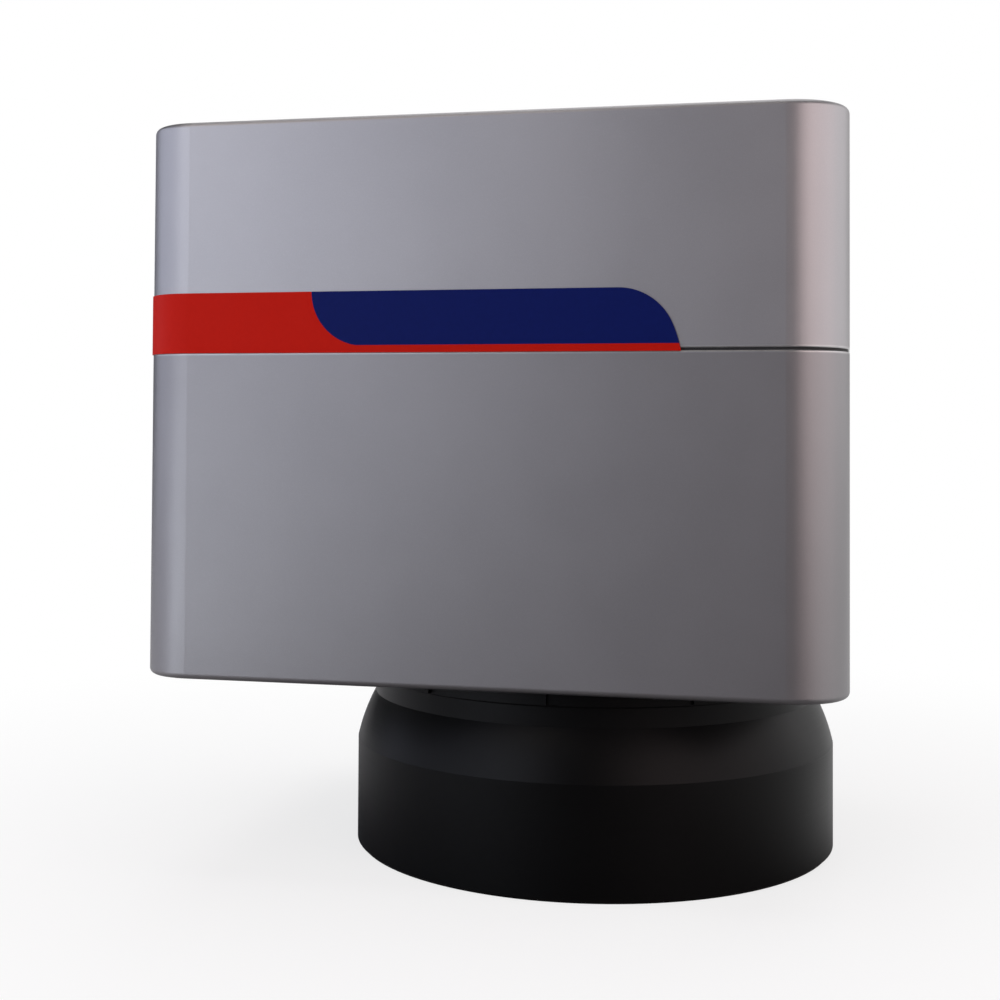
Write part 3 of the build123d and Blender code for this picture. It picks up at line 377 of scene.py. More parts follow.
aluminium = (0.72, 0.72, 0.73)
motor_grey = (0.62, 0.62, 0.63)
nickel = (0.66, 0.61, 0.50)
bare_metal("turned_aluminium", "milled aluminium", aluminium, (120, 5200, 5200), 0.26, 0.02 * mm)
bare_metal("post aluminium", "turned posts", aluminium, (200, 200, 9000), 0.22, 0.02 * mm)
bare_metal("steel", "zinc-plated steel", (0.58, 0.60, 0.62), 2600, 0.24, 0.01 * mm)
bare_metal("plated_steel", "tin-plated steel", (0.70, 0.67, 0.60), 1400, 0.26, 0.008 * mm)
bare_metal("brass_plated", "nickel-plated brass", nickel, (6500, 300, 300), 0.22, 0.01 * mm)
bare_metal("motor_steel", "ground motor case", motor_grey, (60, 60, 7000), 0.24, 0.015 * mm)
bare_metal("y motor steel", "ground Y motor case", motor_grey, (7000, 60, 60), 0.24, 0.015 * mm)
bare_metal("bearing_steel", "polished bearing steel", (0.74, 0.74, 0.75), 5200, 0.10, 0.003 * mm)
bare_metal("magnet_metal", "nickel-plated magnet", (0.60, 0.59, 0.56), 900, 0.18, 0.006 * mm)
print("nine bare metals")

# %% [markdown]
# The black steel screws are blackened by a hot bath, which leaves a thin oxide with a brown cast
# where it is thinnest. The copper winding is hundreds of turns of enamelled wire, so its relief
# is a row of even ridges along the motor's axis. The two motors lie along different axes, so each
# has its own copper.

# %% Mix the black oxide and the copper winding
black_oxide = (0.018, 0.018, 0.020, 1)
brown_oxide = (0.055, 0.042, 0.032, 1)
dark_copper = (0.28, 0.085, 0.030, 1)
bright_copper = (0.72, 0.29, 0.12, 1)
turn_pitch = 0.3 * mm

oxide = Finish("black oxide", Metallic=0.85)
thin = oxide.noise(700, 4, 0.6)
finishes["black_steel"] = oxide.set(
    Base_Color=oxide.mix(oxide.steps(thin, 0.45, 0.75), black_oxide, brown_oxide),
    Roughness=0.30 + thin * 0.15,
    Normal=oxide.relief(thin, 0.01 * mm, 0.4),
)


def winding(slot, name, axis):
    copper = Finish(name, Metallic=0.85, Coat_Weight=0.6, Coat_Roughness=0.15)
    turns_and_groove_shade = copper.ridges(axis, turn_pitch)
    streak = copper.noise(900, 3)
    finishes[slot] = copper.set(
        # Painted shade and highlight: the copper is darker in the grooves between turns and lighter
        # on their crests.
        Base_Color=copper.mix(turns_and_groove_shade * 0.3 + streak * 0.6, dark_copper, bright_copper),
        Roughness=0.30 + streak * 0.10,
        Normal=copper.relief(turns_and_groove_shade, 0.08 * mm, 0.7),
    )


winding("copper", "copper winding", "Z")
winding("y copper", "copper winding of the Y motor", "X")
print("black oxide and two windings")

# %% [markdown]
# ## Glass and mirrors
# The window, the protective glass and the lens elements are polished glass with a coating against
# reflections, so what little they reflect is tinted violet or green. Real glass is never quite
# clean: a faint haze of dust makes it visible at all. The scan mirrors are silica plates with a
# bright coating on one face only, so the direction that a face looks in decides between mirror
# and ground silica.

# %% Mix the glass and the mirrors
def optical_glass(slot, name, tint, clearness):
    glass = Finish(name, IOR=1.5, Transmission_Weight=1.0, Specular_Tint=(*tint, 1))
    dust = glass.noise(3500, 4, 0.7)
    smear = glass.noise(60, 2)
    finishes[slot] = glass.set(
        Base_Color=glass.mix(glass.steps(dust, 0.5, 0.8), (*clearness, 1), (0.86, 0.87, 0.88, 1)),
        Roughness=0.01 + glass.steps(smear, 0.5, 0.8, 0.0, 0.03),
    )


optical_glass("clear_glass", "clear coated glass", (0.55, 0.40, 1.0), (0.97, 0.985, 0.98))
optical_glass("coated_glass", "lens glass", (0.45, 1.0, 0.62), (0.94, 0.965, 0.985))


def scan_mirror(slot, name, looks):
    silica = Finish(name, IOR=1.46)
    coated = silica.steps(silica.facing(looks), 0.75, 0.8)
    ground = silica.noise(4200, 3, 0.6)
    clean = silica.noise(90, 2)
    bare_silica = silica.mix(ground, (0.60, 0.66, 0.64, 1), (0.70, 0.75, 0.73, 1))
    bright = silica.mix(clean, (0.86, 0.84, 0.78, 1), (0.90, 0.89, 0.85, 1))
    finishes[slot] = silica.set(
        Base_Color=silica.mix(coated, bare_silica, bright),
        Metallic=coated,
        Roughness=0.42 - coated * 0.38 + ground * (1 - coated) * 0.1,
    )


slant = 0.5 ** 0.5
scan_mirror("mirror_coating", "X mirror", (-slant, -slant, 0))
scan_mirror("y mirror", "Y mirror", (0, slant, -slant))
print("two glasses and two mirrors")

# %% [markdown]
# ## Plastics and rubber
# Moulded plastic is nearly even in colour. Its character is in a fine spark-eroded grain and a
# broad soft shine. Rubber is duller and a little mottled. One function makes them all, with the
# grain's scale and depth as its arguments.

# %% Mix the plastics and the rubber
def moulded(slot, name, dark, light, grain_scale, roughness, depth):
    plastic = Finish(name, IOR=1.5, Specular_IOR_Level=0.4)
    grain = plastic.noise(grain_scale, 3, 0.6)
    flow = plastic.noise(140, 2)
    finishes[slot] = plastic.set(
        Base_Color=plastic.mix(flow * 0.6 + grain * 0.4, (*dark, 1), (*light, 1)),
        Roughness=roughness + grain * 0.12,
        Normal=plastic.relief(grain, depth, 0.5),
    )


rubber_tones = ((0.010, 0.010, 0.010), (0.020, 0.020, 0.021))
epoxy_tones = ((0.012, 0.012, 0.013), (0.022, 0.022, 0.023))
ivory_tones = ((0.66, 0.63, 0.54), (0.74, 0.71, 0.62))
blue_tones = ((0.012, 0.05, 0.16), (0.02, 0.075, 0.22))
moulded("black_rubber", "black rubber", *rubber_tones, 2200, 0.62, 0.03 * mm)
moulded("black_plastic", "black epoxy", *epoxy_tones, 6000, 0.48, 0.02 * mm)
moulded("white_plastic", "ivory nylon", *ivory_tones, 2600, 0.36, 0.01 * mm)
moulded("blue_plastic", "blue connector plastic", *blue_tones, 3000, 0.38, 0.01 * mm)
print("three plastics and a rubber")

# %% [markdown]
# A power transistor is a black body moulded on a tinned copper tab, and the solid has both in one
# piece. The tab starts at a known height, so a step on the height parts the two. The flat ribbon
# cable is grey wires side by side, 1.27 mm apart, with a red one at its edge to show which way
# round it goes.

# %% Mix the transistor and the ribbon
transistor_low, transistor_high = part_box("board_transistors")
tab_from = transistor_high.z - 6.0 * mm
power = Finish("transistor", IOR=1.5)
is_tab = power.steps(power.along("Z"), tab_from - 0.05 * mm, tab_from + 0.05 * mm)
grain = power.noise(5000, 3, 0.6)
tinned = power.mix(grain, grey(0.52), grey(0.64))
finishes["transistor"] = power.set(
    Base_Color=power.mix(is_tab, (0.016, 0.016, 0.017, 1), tinned),
    Metallic=is_tab,
    Roughness=0.5 - is_tab * 0.25 + grain * 0.1,
    Normal=power.relief(grain, 0.015 * mm, 0.4),
)

wire_pitch = 1.27 * mm
ribbon_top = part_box("ribbon_cables")[1].z
ribbon = Finish("grey ribbon cable", IOR=1.5)
wires_and_groove_shade = ribbon.ridges("Z", wire_pitch)
red_edge = ribbon.steps(ribbon.along("Z"), ribbon_top - 1.3 * mm, ribbon_top - 1.2 * mm)
# Painted shade and highlight: the sheath is darker in the grooves between wires and lighter on
# their crests.
sheath = ribbon.mix(ribbon.noise(500, 3) * 0.5 + wires_and_groove_shade * 0.25, grey(0.30), grey(0.42))
finishes["grey_plastic"] = ribbon.set(
    Base_Color=ribbon.mix(red_edge, sheath, (0.42, 0.03, 0.02, 1)),
    Roughness=0.40 + wires_and_groove_shade * 0.04,
    Normal=ribbon.relief(wires_and_groove_shade, 0.3 * mm, 0.6),
)
print("tabs from", round(tab_from / mm, 1), "mm")

# %% [markdown]
# ## Circuit boards
# A board is glass fibre with copper tracks under a green lacquer. Where a track runs, the lacquer
# lies over bright copper and looks lighter and slightly raised. A brick pattern, read twice at
# different sizes, gives straight tracks that branch at right angles. Small tinned dots are the
# vias that join one side to the other, and the sawn edge of the board is bare tan fibre. Which
# two axes the pattern uses depends on how the board stands, so a Mapping node turns the pattern
# into the board's plane.

# %% Mix the circuit boards
def circuit_board(slot, name, turn, face):
    board = Finish(name, IOR=1.5)
    plane = board.node("Mapping", values={"Vector": board.place(), "Rotation": turn})

    def tracks(scale, width):
        values = {"Vector": plane, "Scale": scale, "Mortar Size": width}
        values.update({"Brick Width": 0.9, "Row Height": 0.35})
        return board.node("TexBrick", {"offset": 0.37}, values, out="Fac")

    spread = {"Vector": plane, "Scale": 210.0, "Randomness": 0.7}
    dots = board.node("TexVoronoi", {"feature": "F1"}, spread)
    via = board.steps(dots, 0.085, 0.065)
    copper = board.maths("MAXIMUM", tracks(110.0, 0.02), tracks(240.0, 0.035))
    sawn = board.steps(board.maths("ABSOLUTE", board.facing(face)), 0.6, 0.4)
    lacquer = board.mix(copper, (0.004, 0.060, 0.022, 1), (0.012, 0.130, 0.045, 1))
    tinned = board.mix(via, lacquer, grey(0.60))
    fibre = board.mix(board.noise((4000, 4000, 4000)), (0.30, 0.26, 0.13, 1), (0.42, 0.38, 0.20, 1))
    finishes[slot] = board.set(
        Base_Color=board.mix(sawn, tinned, fibre),
        Metallic=via * (1 - sawn),
        Roughness=0.30 + sawn * 0.4,
        Normal=board.relief(copper * 0.5 + via * 0.5, 0.05 * mm, 0.6),
    )


circuit_board("board_green", "driver board", (pi / 2, 0, 0), (0, 1, 0))
circuit_board("interface board", "interface board", (0, pi / 2, 0), (1, 0, 0))
circuit_board("detector board", "detector boards", (0, 0, 0), (slant, 0, slant))
print("three boards")

# %% [markdown]
# ## Tools for small pieces
# The boards carry many small things that the solid model leaves plain: capacitors with rolled
# cans, the legs of the chips, contacts in the connectors. Each is modelled once at the origin and
# then copied to its places. Three helpers do the work. The first turns an outline round the Z
# axis, as a lathe would. The second bends a strip of metal along a path. The third copies a shape
# and makes it one object. A small one beside them picks the vertices or the edges out of what an
# operator returns.

# %% Turn, bend and place
merge_distance = 0.0001 * mm
sharp_angle = pi / 5


def turned(outline, steps):
    """An outline of radius and height in millimetres, turned round the Z axis.

    An outline that starts on the axis gives a solid, and any other is closed into a ring.
    """
    shape = bmesh.new()
    points = [shape.verts.new((radius * mm, 0, height * mm)) for radius, height in outline]
    is_ring = outline[0][0] > 0
    ends = points[1:] + points[:1] if is_ring else points[1:]
    edges = [shape.edges.new(pair) for pair in zip(points, ends)]
    bmesh.ops.spin(
        shape,
        geom=points + edges,
        cent=(0, 0, 0),
        axis=(0, 0, 1),
        angle=2 * pi,
        steps=steps,
        use_merge=True,
    )
    bmesh.ops.remove_doubles(shape, verts=shape.verts, dist=merge_distance)
    bmesh.ops.recalc_face_normals(shape, faces=shape.faces)
    return shape


def of_kind(kind, parts):
    """Those of the parts that are of one kind, such as vertices."""
    return [part for part in parts if isinstance(part, kind)]


def bent_strip(path, width, thickness):
    """A strip of that width and thickness in millimetres, bent along a path of X and Z."""
    shape = bmesh.new()
    start_x, start_z = path[0]
    sides = (-width / 2 * mm, width / 2 * mm)
    ends = [shape.verts.new((start_x * mm, side, start_z * mm)) for side in sides]
    edge = shape.edges.new(ends)
    for (from_x, from_z), (to_x, to_z) in zip(path, path[1:]):
        step = Vector((to_x - from_x, 0, to_z - from_z)) * mm
        grown = bmesh.ops.extrude_edge_only(shape, edges=[edge])["geom"]
        bmesh.ops.translate(shape, vec=step, verts=of_kind(BMVert, grown))
        edge = of_kind(BMEdge, grown)[0]
    bmesh.ops.solidify(shape, geom=shape.faces[:], thickness=thickness * mm)
    bmesh.ops.recalc_face_normals(shape, faces=shape.faces)
    return shape


def piece(name, shape, places, slot, finish=None, smooth=False):
    """Copies the shape to each place, makes it one object, and lets it ride on the head.

    Its finish has the name of its material slot, unless another is given.
    """
    model = shape.verts[:] + shape.edges[:] + shape.faces[:]
    for place in places:
        copies = bmesh.ops.duplicate(shape, geom=model)["geom"]
        bmesh.ops.transform(shape, matrix=place, verts=of_kind(BMVert, copies))
    bmesh.ops.delete(shape, geom=of_kind(BMVert, model), context="VERTS")
    mesh = bpy.data.meshes.new(name)
    shape.to_mesh(mesh)
    shape.free()
    if smooth:
        mesh.shade_smooth()
        mesh.set_sharp_from_angle(angle=sharp_angle)
    mesh.materials.append(finishes[finish or slot])
    made = bpy.data.objects.new(name, mesh)
    scene.collection.objects.link(made)
    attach(made, "head")
    print(name, "in", len(places), "places,", len(mesh.polygons), "faces")
    return made


# %% [markdown]
# The two driver boards face each other across the head, so nearly everything on one has a twin on
# the other. A place on a board is given by X, Z, the height over the board's face, and the way
# the piece points. One function turns that into a matrix for either board.

# %% Find places on the two boards
front_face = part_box("front_driver_board")[1].y
rear_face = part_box("rear_driver_board")[0].y


def on_board(rear, x, z, height=0.0, pointing=(1, 0, 0)):
    """A place on a driver board: local Z leads off the board and local X points along it."""
    up = Vector((0, -1 if rear else 1, 0))
    forward = Vector(pointing)
    turn = Matrix((forward, up.cross(forward), up)).transposed().to_4x4()
    y = rear_face - height if rear else front_face + height
    return Matrix.Translation((x, y, z)) @ turn


def on_both(spots):
    """The same spots, each X, Z, height and direction, on the front and the rear board."""
    return [on_board(rear, *spot) for rear in (False, True) for spot in spots]


print("board faces at", round(front_face / mm, 1), "and", round(rear_face / mm, 1), "mm")

# %% [markdown]
# ## Capacitors
# An electrolytic capacitor is an aluminium can in a plastic sleeve. The can is rolled in near the
# board to hold its rubber plug, and the sleeve folds over the top rim and leaves a bare disc. The
# disc has a scored cross, where it may open safely. A light band down one side marks the negative
# leg. These cans replace the plain solids, since the rolled groove changes their outline.

# %% Mix the capacitor's finish
can_pitch = 11 * mm
can_low, can_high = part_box("board_capacitors")
can_radius = (can_high.z - can_low.z) / 2
can_middle = (can_low + can_high) / 2
can_top_front, can_top_rear = (corner.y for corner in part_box("ribbon_cables"))
between_tops = (can_top_front + can_top_rear) / 2
half_gap = (can_top_rear - can_top_front) / 2

can = Finish("capacitor can", IOR=1.5)
from_middle = can.maths("ABSOLUTE", can.along("Y") - between_tops)
off_axis = can.maths("ABSOLUTE", can.along("Z") - can_middle.z)
across = can.maths("COSINE", (can.along("X") - can_middle.x) * (2 * pi / can_pitch))
near_axis = can.steps(across, 0.0, 0.2) * can.steps(off_axis, 3.45 * mm, 3.4 * mm)
bare = can.steps(from_middle, half_gap + 0.20 * mm, half_gap + 0.15 * mm) * near_axis
score_across = can.steps(across, 0.9970, 0.9985)
score_along = can.steps(off_axis, 0.16 * mm, 0.10 * mm)
cross = can.maths("MAXIMUM", score_across, score_along) * bare
band = can.steps(can.along("Z"), can_middle.z + 3.0 * mm, can_middle.z + 3.05 * mm) * (1 - bare)
speckle = can.noise(3000, 3)
dark_film = can.mix(speckle, (0.008, 0.010, 0.020, 1), (0.014, 0.017, 0.032, 1))
film = can.mix(band, dark_film, grey(0.45))
finishes["can_aluminium"] = can.set(
    Base_Color=can.mix(bare, film, can.mix(speckle, grey(0.62), grey(0.72))),
    Metallic=bare,
    Roughness=0.34 - bare * 0.08 + speckle * 0.08,
    Normal=can.relief(1 - cross, 0.15 * mm, 0.8),
)
print("can radius", round(can_radius / mm, 2), "mm")

# %% [markdown]
# A can is round, so its outline from the middle of its foot, out to the wall and over the rim to
# the middle of its top, turned once, gives the whole of it. Three stand in a row on each board.
# They reach up to the ribbon cables, which gives their height.

# %% Turn the capacitors
def can_outline(tall):
    """The outline of a can of that height, as radius and height in millimetres."""
    foot = [(0, 0), (3.6, 0), (3.9, 0.12), (4.0, 0.5), (4.0, 1.3)]
    groove = [(3.92, 1.45), (3.74, 1.55), (3.74, 1.85), (3.92, 1.95), (4.0, 2.1)]
    shoulder = [(4.0, tall - 0.5), (3.93, tall - 0.2), (3.75, tall - 0.03), (3.6, tall)]
    disc = [(3.48, tall - 0.04), (3.42, tall - 0.14), (0, tall - 0.14)]
    return foot + groove + shoulder + disc


spots = [(can_middle.x + step * can_pitch, can_middle.z) for step in (-1, 0, 1)]
for name, rear, tall in (
    ("front_capacitors", False, can_top_front - front_face),
    ("rear_capacitors", True, rear_face - can_top_rear),
):
    places = [on_board(rear, *spot) for spot in spots]
    cans = piece(name, turned(can_outline(tall / mm), 40), places, "can_aluminium", smooth=True)
    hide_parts("board_capacitors")

# %% [markdown]
# ## Legs of the chips
# The chips are soldered down by rows of bent legs, shaped like a gull's wing: out from the body,
# down to the board, and out again for the foot. A leg is a strip bent along a path of four
# points. A chip has the legs on its two long sides, and the square processor has them on all
# four.

# %% Bend the legs of the chips
chip_pitch = 15 * mm
leg_pitch = 1.27 * mm
fine_leg_pitch = 0.8 * mm
large_half_length = 5 * mm
large_half = 3 * mm
small_half = 2.5 * mm
processor_half = 6 * mm
row_gap = 13 * mm
chips_low, chips_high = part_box("board_chips")
first_column = chips_high.x - large_half_length
chip_columns = [first_column - step * chip_pitch for step in range(3)]
large_z = chips_high.z - large_half
small_z = large_z - row_gap
processor_spot = (chips_low.x + processor_half, chips_low.z + processor_half)


def leg_row(x, z, half_width, count, pitch, out):
    """Places of a row of legs along one side of a chip centred at X and Z."""
    out = Vector(out)
    along = Vector((out.z, 0, out.x))
    centre = Vector((x, 0, z)) + out * half_width
    spots = []
    for index in range(count):
        spot = centre + along * (index - (count - 1) / 2) * pitch
        spots.append((spot.x, spot.z, 0.0, out))
    return spots


up_and_down = ((0, 0, 1), (0, 0, -1))
all_round = up_and_down + ((1, 0, 0), (-1, 0, 0))
spots = []
for column in chip_columns:
    for out in up_and_down:
        spots += leg_row(column, large_z, large_half, 8, leg_pitch, out)
        spots += leg_row(column, small_z, small_half, 4, leg_pitch, out)
gull_wing = ((-0.1, 0.9), (0.42, 0.9), (0.62, 0.12), (1.15, 0.12))
piece("chip_legs", bent_strip(gull_wing, 0.42, 0.14), on_both(spots), "plated_steel")

spots = []
for out in all_round:
    spots += leg_row(*processor_spot, processor_half, 13, fine_leg_pitch, out)
piece("processor_legs", bent_strip(gull_wing, 0.30, 0.14), on_both(spots), "plated_steel")

# %% [markdown]
# Each chip has a small moulded dimple beside its first leg. A shallow dish, turned from an
# outline, stands a hair proud of the chip's top so that its rim catches the light.

# %% Mark the first leg of each chip
spots = []
for column in chip_columns:
    spots.append((column - 4.1 * mm, large_z - 2.1 * mm, 1.8 * mm))
    spots.append((column - 2.2 * mm, small_z - 1.7 * mm, 1.6 * mm))
spots.append((processor_spot[0] - 4.8 * mm, processor_spot[1] - 4.8 * mm, 2.0 * mm))
dish = [(0, 0.01), (0.34, 0.01), (0.42, 0.05)]
rim = [(0.5, 0.05), (0.55, 0.0), (0.55, -0.05), (0, -0.05)]
piece("chip_dimples", turned(dish + rim, 20), on_both(spots), "black_plastic", smooth=True)

# %% [markdown]
# ## Power transistors
# The four power transistors on each board drive the motors. Each has three flat legs, bent once
# into the board, and a screw through its metal tab that presses it down so that the board takes
# its heat.

# %% Bend the transistor legs and turn the tab screws
transistor_pitch = 14 * mm
transistor_half = 5 * mm
transistor_leg_pitch = 2.54 * mm
first_column = transistor_low.x + transistor_half
transistor_columns = [first_column + step * transistor_pitch for step in range(4)]
spots = []
for column in transistor_columns:
    for step in (-1, 0, 1):
        leg_x = column + step * transistor_leg_pitch
        spots.append((leg_x, transistor_low.z, 0.0, Vector((0, 0, -1))))
dropped = ((-0.2, 2.2), (1.3, 2.2), (1.7, 1.9), (1.8, 0.0))
piece("transistor_legs", bent_strip(dropped, 0.8, 0.5), on_both(spots), "plated_steel")

recess = [(0, 1.0), (0.75, 1.0), (0.95, 1.15), (1.15, 1.95)]
pan = [(1.7, 1.85), (2.3, 1.45), (2.65, 0.85), (2.7, 0.4), (2.7, 0.3)]
washer = [(3.2, 0.3), (3.2, 0.0), (0, 0.0)]
spots = [(column, transistor_high.z - 2.9 * mm, 1.3 * mm) for column in transistor_columns]
piece("tab_screws", turned(recess + pan + washer, 28), on_both(spots), "steel", smooth=True)

# %% [markdown]
# ## Small surface-mounted parts
# Between the chips sit rows of resistors and capacitors the size of a grain of rice. Each is a
# block with a tinned cap on each end. The body and the caps are cubes, scaled and slightly
# bevelled, and the caps wrap a little round the body, as solder does.

# %% Make the resistors
def small_block(centres, length, width, height):
    """Blocks of that size in millimetres, standing on the board plane, bevelled all round."""
    shape = bmesh.new()
    for centre in centres:
        scaled = Matrix.Diagonal((length * mm, width * mm, height * mm, 1))
        raised = Matrix.Translation((centre * mm, 0, height / 2 * mm))
        bmesh.ops.create_cube(shape, size=1, matrix=raised @ scaled)
    bmesh.ops.bevel(
        shape,
        geom=shape.edges[:],
        offset=0.05 * mm,
        affect="EDGES",
        segments=1,
        profile=0.5,
        material=-1,
    )
    return shape


chip_row_pitch = 4 * mm
processor_row_pitch = 3 * mm
chip_row_start = chip_columns[2] - 2 * mm
chip_rows = (large_z + small_z) / 2, small_z - 6.5 * mm
processor_row = processor_spot[1] + 9.5 * mm
spots = [(chip_row_start + step * chip_row_pitch, row) for row in chip_rows for step in range(9)]
for step in (-2, -1, 0, 1, 2):
    spots.append((processor_spot[0] + step * processor_row_pitch, processor_row))
body = small_block((0,), 1.5, 1.15, 0.55)
caps = small_block((-0.85, 0.85), 0.4, 1.25, 0.62)
piece("resistor_bodies", body, on_both(spots), "black_plastic")
piece("resistor_caps", caps, on_both(spots), "plated_steel")

# %% [markdown]
# ## Contacts
# The two sockets on the end wall have gold-plated sleeves in their holes, which the plug's pins
# slide into. A sleeve is a ring with a rounded mouth, a little narrower than its hole and set
# back from the face. The upper row of each socket has one contact more than the lower.

# %% Turn the contacts
gold = Finish("gold plating", Metallic=1.0)
plating = gold.noise(2600, 3)
finishes["gold"] = gold.set(
    Base_Color=gold.mix(plating, (0.78, 0.50, 0.16, 1), (0.90, 0.62, 0.24, 1)),
    Roughness=0.16 + plating * 0.10,
)
outer_wall = [(0.50, 0.0), (0.50, 3.3), (0.47, 3.42)]
mouth_and_bore = [(0.41, 3.45), (0.36, 3.40), (0.33, 3.28), (0.33, 0.0)]
end_margins = 5.2 * mm
sleeve_foot = 3.8 * mm
row_rise = 1.42 * mm
for name, insert, upper_count in (
    ("signal_contacts", "signal_insert", 13),
    ("power_contacts", "power_insert", 5),
):
    low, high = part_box(insert)
    centre = (low + high) / 2
    pitch = (high.y - low.y - end_margins) / (upper_count - 1)
    places = []
    for count, rise in ((upper_count, row_rise), (upper_count - 1, -row_rise)):
        for index in range(count):
            y = centre.y + (index - (count - 1) / 2) * pitch
            spot = Matrix.Translation((low.x + sleeve_foot, y, centre.z + rise))
            places.append(spot @ Matrix.Rotation(-pi / 2, 4, "Y"))
    sleeve = turned(outer_wall + mouth_and_bore, 14)
    piece(name, sleeve, places, "brass_plated", finish="gold", smooth=True)

# %% [markdown]
# ## Dressing the solid parts
# Every solid part keeps its shape and gets the finish of its own material. A few share a material
# but not a finish: the cover and the housing, whose coats are a lighter and a darker grey as
# painted light, and the parts that lie along another axis.

# %% Give each solid part its finish
own_finish = {
    "upper_cover": "lit cover coat",
    "lens_barrel": "black barrel",
    "cover_posts": "post aluminium",
    "y_motor_case": "y motor steel",
    "y_coil": "y copper",
    "y_mirror": "y mirror",
    "board_transistors": "transistor",
    "interface_board": "interface board",
    "detector_boards": "detector board",
}
for part in frame["record"]["subparts"]:
    mesh = frame["nodes"][part["node"]].data
    mesh.materials.clear()
    mesh.materials.append(finishes[own_finish.get(part["node"], part["material_slot"])])

# %% [markdown]
# ## Floor
# The head stands on a wide sheet of white paper that runs out of sight. Near the head its colour
# carries the shadow. Further away the sheet glows evenly to the camera, so that it meets the
# white surroundings without a line. Glass and metal see that glow too where the sheet lies behind
# the head on the right, and it draws the bright rims there. To all other light the sheet is white
# on the left and a dull grey on the right, as if a dark cloth lay there, which keeps the right
# half of the front dim.

# %% A pale floor
sheet_reach = 6
floor_glow = 0.9
pale = grey(0.97)
right_rear = (0.8, 0.6, 0)
behind_steps = (0.06, 0.13)
glow_steps = (0.06, 0.25, 0.75, 1.0)
cloth_steps = (-0.12, 0.06)

floor_mesh = bpy.data.meshes.new("floor")
sheet = bmesh.new()
bmesh.ops.create_grid(sheet, x_segments=1, y_segments=1, size=sheet_reach)
under_lens = (lens_axis.x, lens_axis.y, solid_box[0][2])
bmesh.ops.translate(sheet, vec=under_lens, verts=sheet.verts)
sheet.to_mesh(floor_mesh)
sheet.free()
floor = bpy.data.objects.new("floor", floor_mesh)
scene.collection.objects.link(floor)

paper = Finish("white paper", Roughness=0.9, Specular_IOR_Level=0.1)
to_camera = paper.node("LightPath", out="Is Camera Ray")
to_gloss = paper.node("LightPath", out="Is Glossy Ray")
through_glass = paper.node("LightPath", out="Is Transmission Ray")
behind = paper.steps(paper.dot(paper.place(), right_rear), *behind_steps)
seen = to_camera + (to_gloss + through_glass) * behind * floor_glow
from_lens = paper.distance(paper.place(), lens_axis)
share = seen * paper.steps(from_lens, *glow_steps)
glow = paper.node("Emission", values={"Color": grey(1.0), "Strength": 1.0})
dull = paper.mix(paper.steps(paper.along("X"), *cloth_steps), pale, grey(0.22))
paper.set(Base_Color=paper.mix(to_camera, dull, pale))
lit = Value(paper, paper.shader.outputs[0])
surface = paper.node("MixShader", values={0: share, 1: lit, 2: glow})
from_below = paper.node("NewGeometry", out="Backfacing")
clear = paper.node("BsdfTransparent")
surface = paper.node("MixShader", values={0: from_below, 1: surface, 2: clear})
paper.feed(paper.tree.nodes["Material Output"].inputs["Surface"], surface)
floor_mesh.materials.append(paper.material)
print("floor at", round(solid_box[0][2] / mm, 1), "mm")

# %% [markdown]
# ## Light
# Satin metal shows the room it stands in, so each lamp is placed by what it has to light. Soft
# boxes on the left brighten the left half of the front, and a strip just above the floor carries
# that light down to the bottom edge. Soft boxes on the right draw the pale strip down the right
# corner. The gap between the two groups, behind the camera, is what the right half of the front
# shows. One box overhead and one behind light the top and the back. The camera doesn't see the
# lamps themselves.

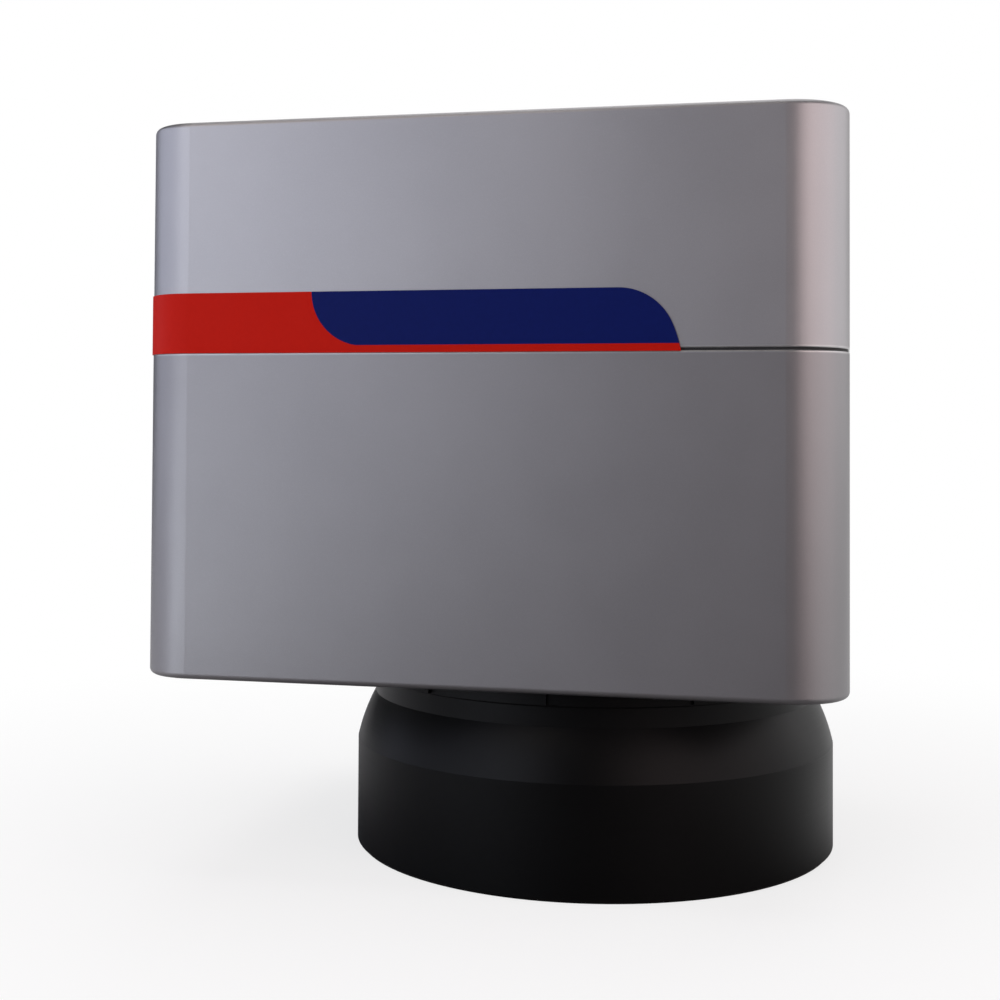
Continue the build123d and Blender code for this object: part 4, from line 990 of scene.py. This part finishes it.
# %% Hang the soft boxes
def soft_box(name, place, width, height, power, colour):
    """A rectangular lamp at a place, facing the middle of the head."""
    lamp_data = bpy.data.lights.new(name, "AREA")
    lamp_data.shape = "RECTANGLE"
    lamp_data.size = width
    lamp_data.size_y = height
    lamp_data.energy = power
    lamp_data.color = colour
    lamp = bpy.data.objects.new(name, lamp_data)
    turn = (middle - Vector(place)).to_track_quat("-Z", "Y").to_matrix().to_4x4()
    lamp.matrix_world = Matrix.Translation(place) @ turn
    lamp.visible_camera = False
    scene.collection.objects.link(lamp)


middle = Vector((0.06, -0.016, 0.02))
soft_box("top soft box", (0.06, 0.21, 1.30), 1.2, 1.2, 7.8, (1.0, 1.0, 1.0))
soft_box("high soft box", (-0.26, -0.57, 0.66), 0.5, 0.5, 1.3, (1.0, 0.88, 0.80))
soft_box("front left soft box", (-0.53, -1.02, 0.31), 0.6, 0.6, 3.5, (0.83, 0.87, 1.0))
soft_box("left soft box", (-1.18, -0.30, 0.36), 1.6, 0.9, 6.5, (0.78, 0.82, 1.0))
soft_box("low strip light", (-0.17, -0.28, -0.045), 0.2, 0.03, 0.09, (0.85, 0.93, 1.0))
soft_box("front right soft box", (0.87, -0.98, 0.36), 0.7, 0.7, 4.1, (1.0, 0.82, 0.81))
soft_box("right soft box", (1.25, -0.34, 0.42), 0.9, 0.9, 5.0, (1.0, 0.87, 0.88))
soft_box("rear right soft box", (1.17, 0.50, 0.46), 0.9, 0.9, 2.5, (1.0, 0.96, 0.98))
soft_box("rear soft box", (0.06, 1.05, 0.77), 0.9, 0.9, 3.0, (1.0, 1.0, 1.0))
print("eight soft boxes and a strip light")

# %% [markdown]
# The surroundings are white to the camera, and nearly white to glass and metal that look at what
# lies behind the head on the right. To all other light they are almost black, like a studio with
# its ceiling lights off.

# %% White surroundings
studio_level = 0.03
wall_glow = 0.8
world = bpy.data.worlds.new("studio")
scene.world = world
world.use_nodes = True
studio = Mixture(world.node_tree)
to_camera = studio.node("LightPath", out="Is Camera Ray")
to_gloss = studio.node("LightPath", out="Is Glossy Ray")
through_glass = studio.node("LightPath", out="Is Transmission Ray")
direction = studio.node("TexCoord", out="Generated")
behind = studio.steps(studio.dot(direction, right_rear), 0.5, 1.0)
seen = to_camera + (to_gloss + through_glass) * behind * wall_glow
background = world.node_tree.nodes["Background"]
background.inputs["Color"].default_value = grey(1.0)
studio.feed(background.inputs["Strength"], studio_level + seen * (1 - studio_level))
print("surroundings at", studio_level)
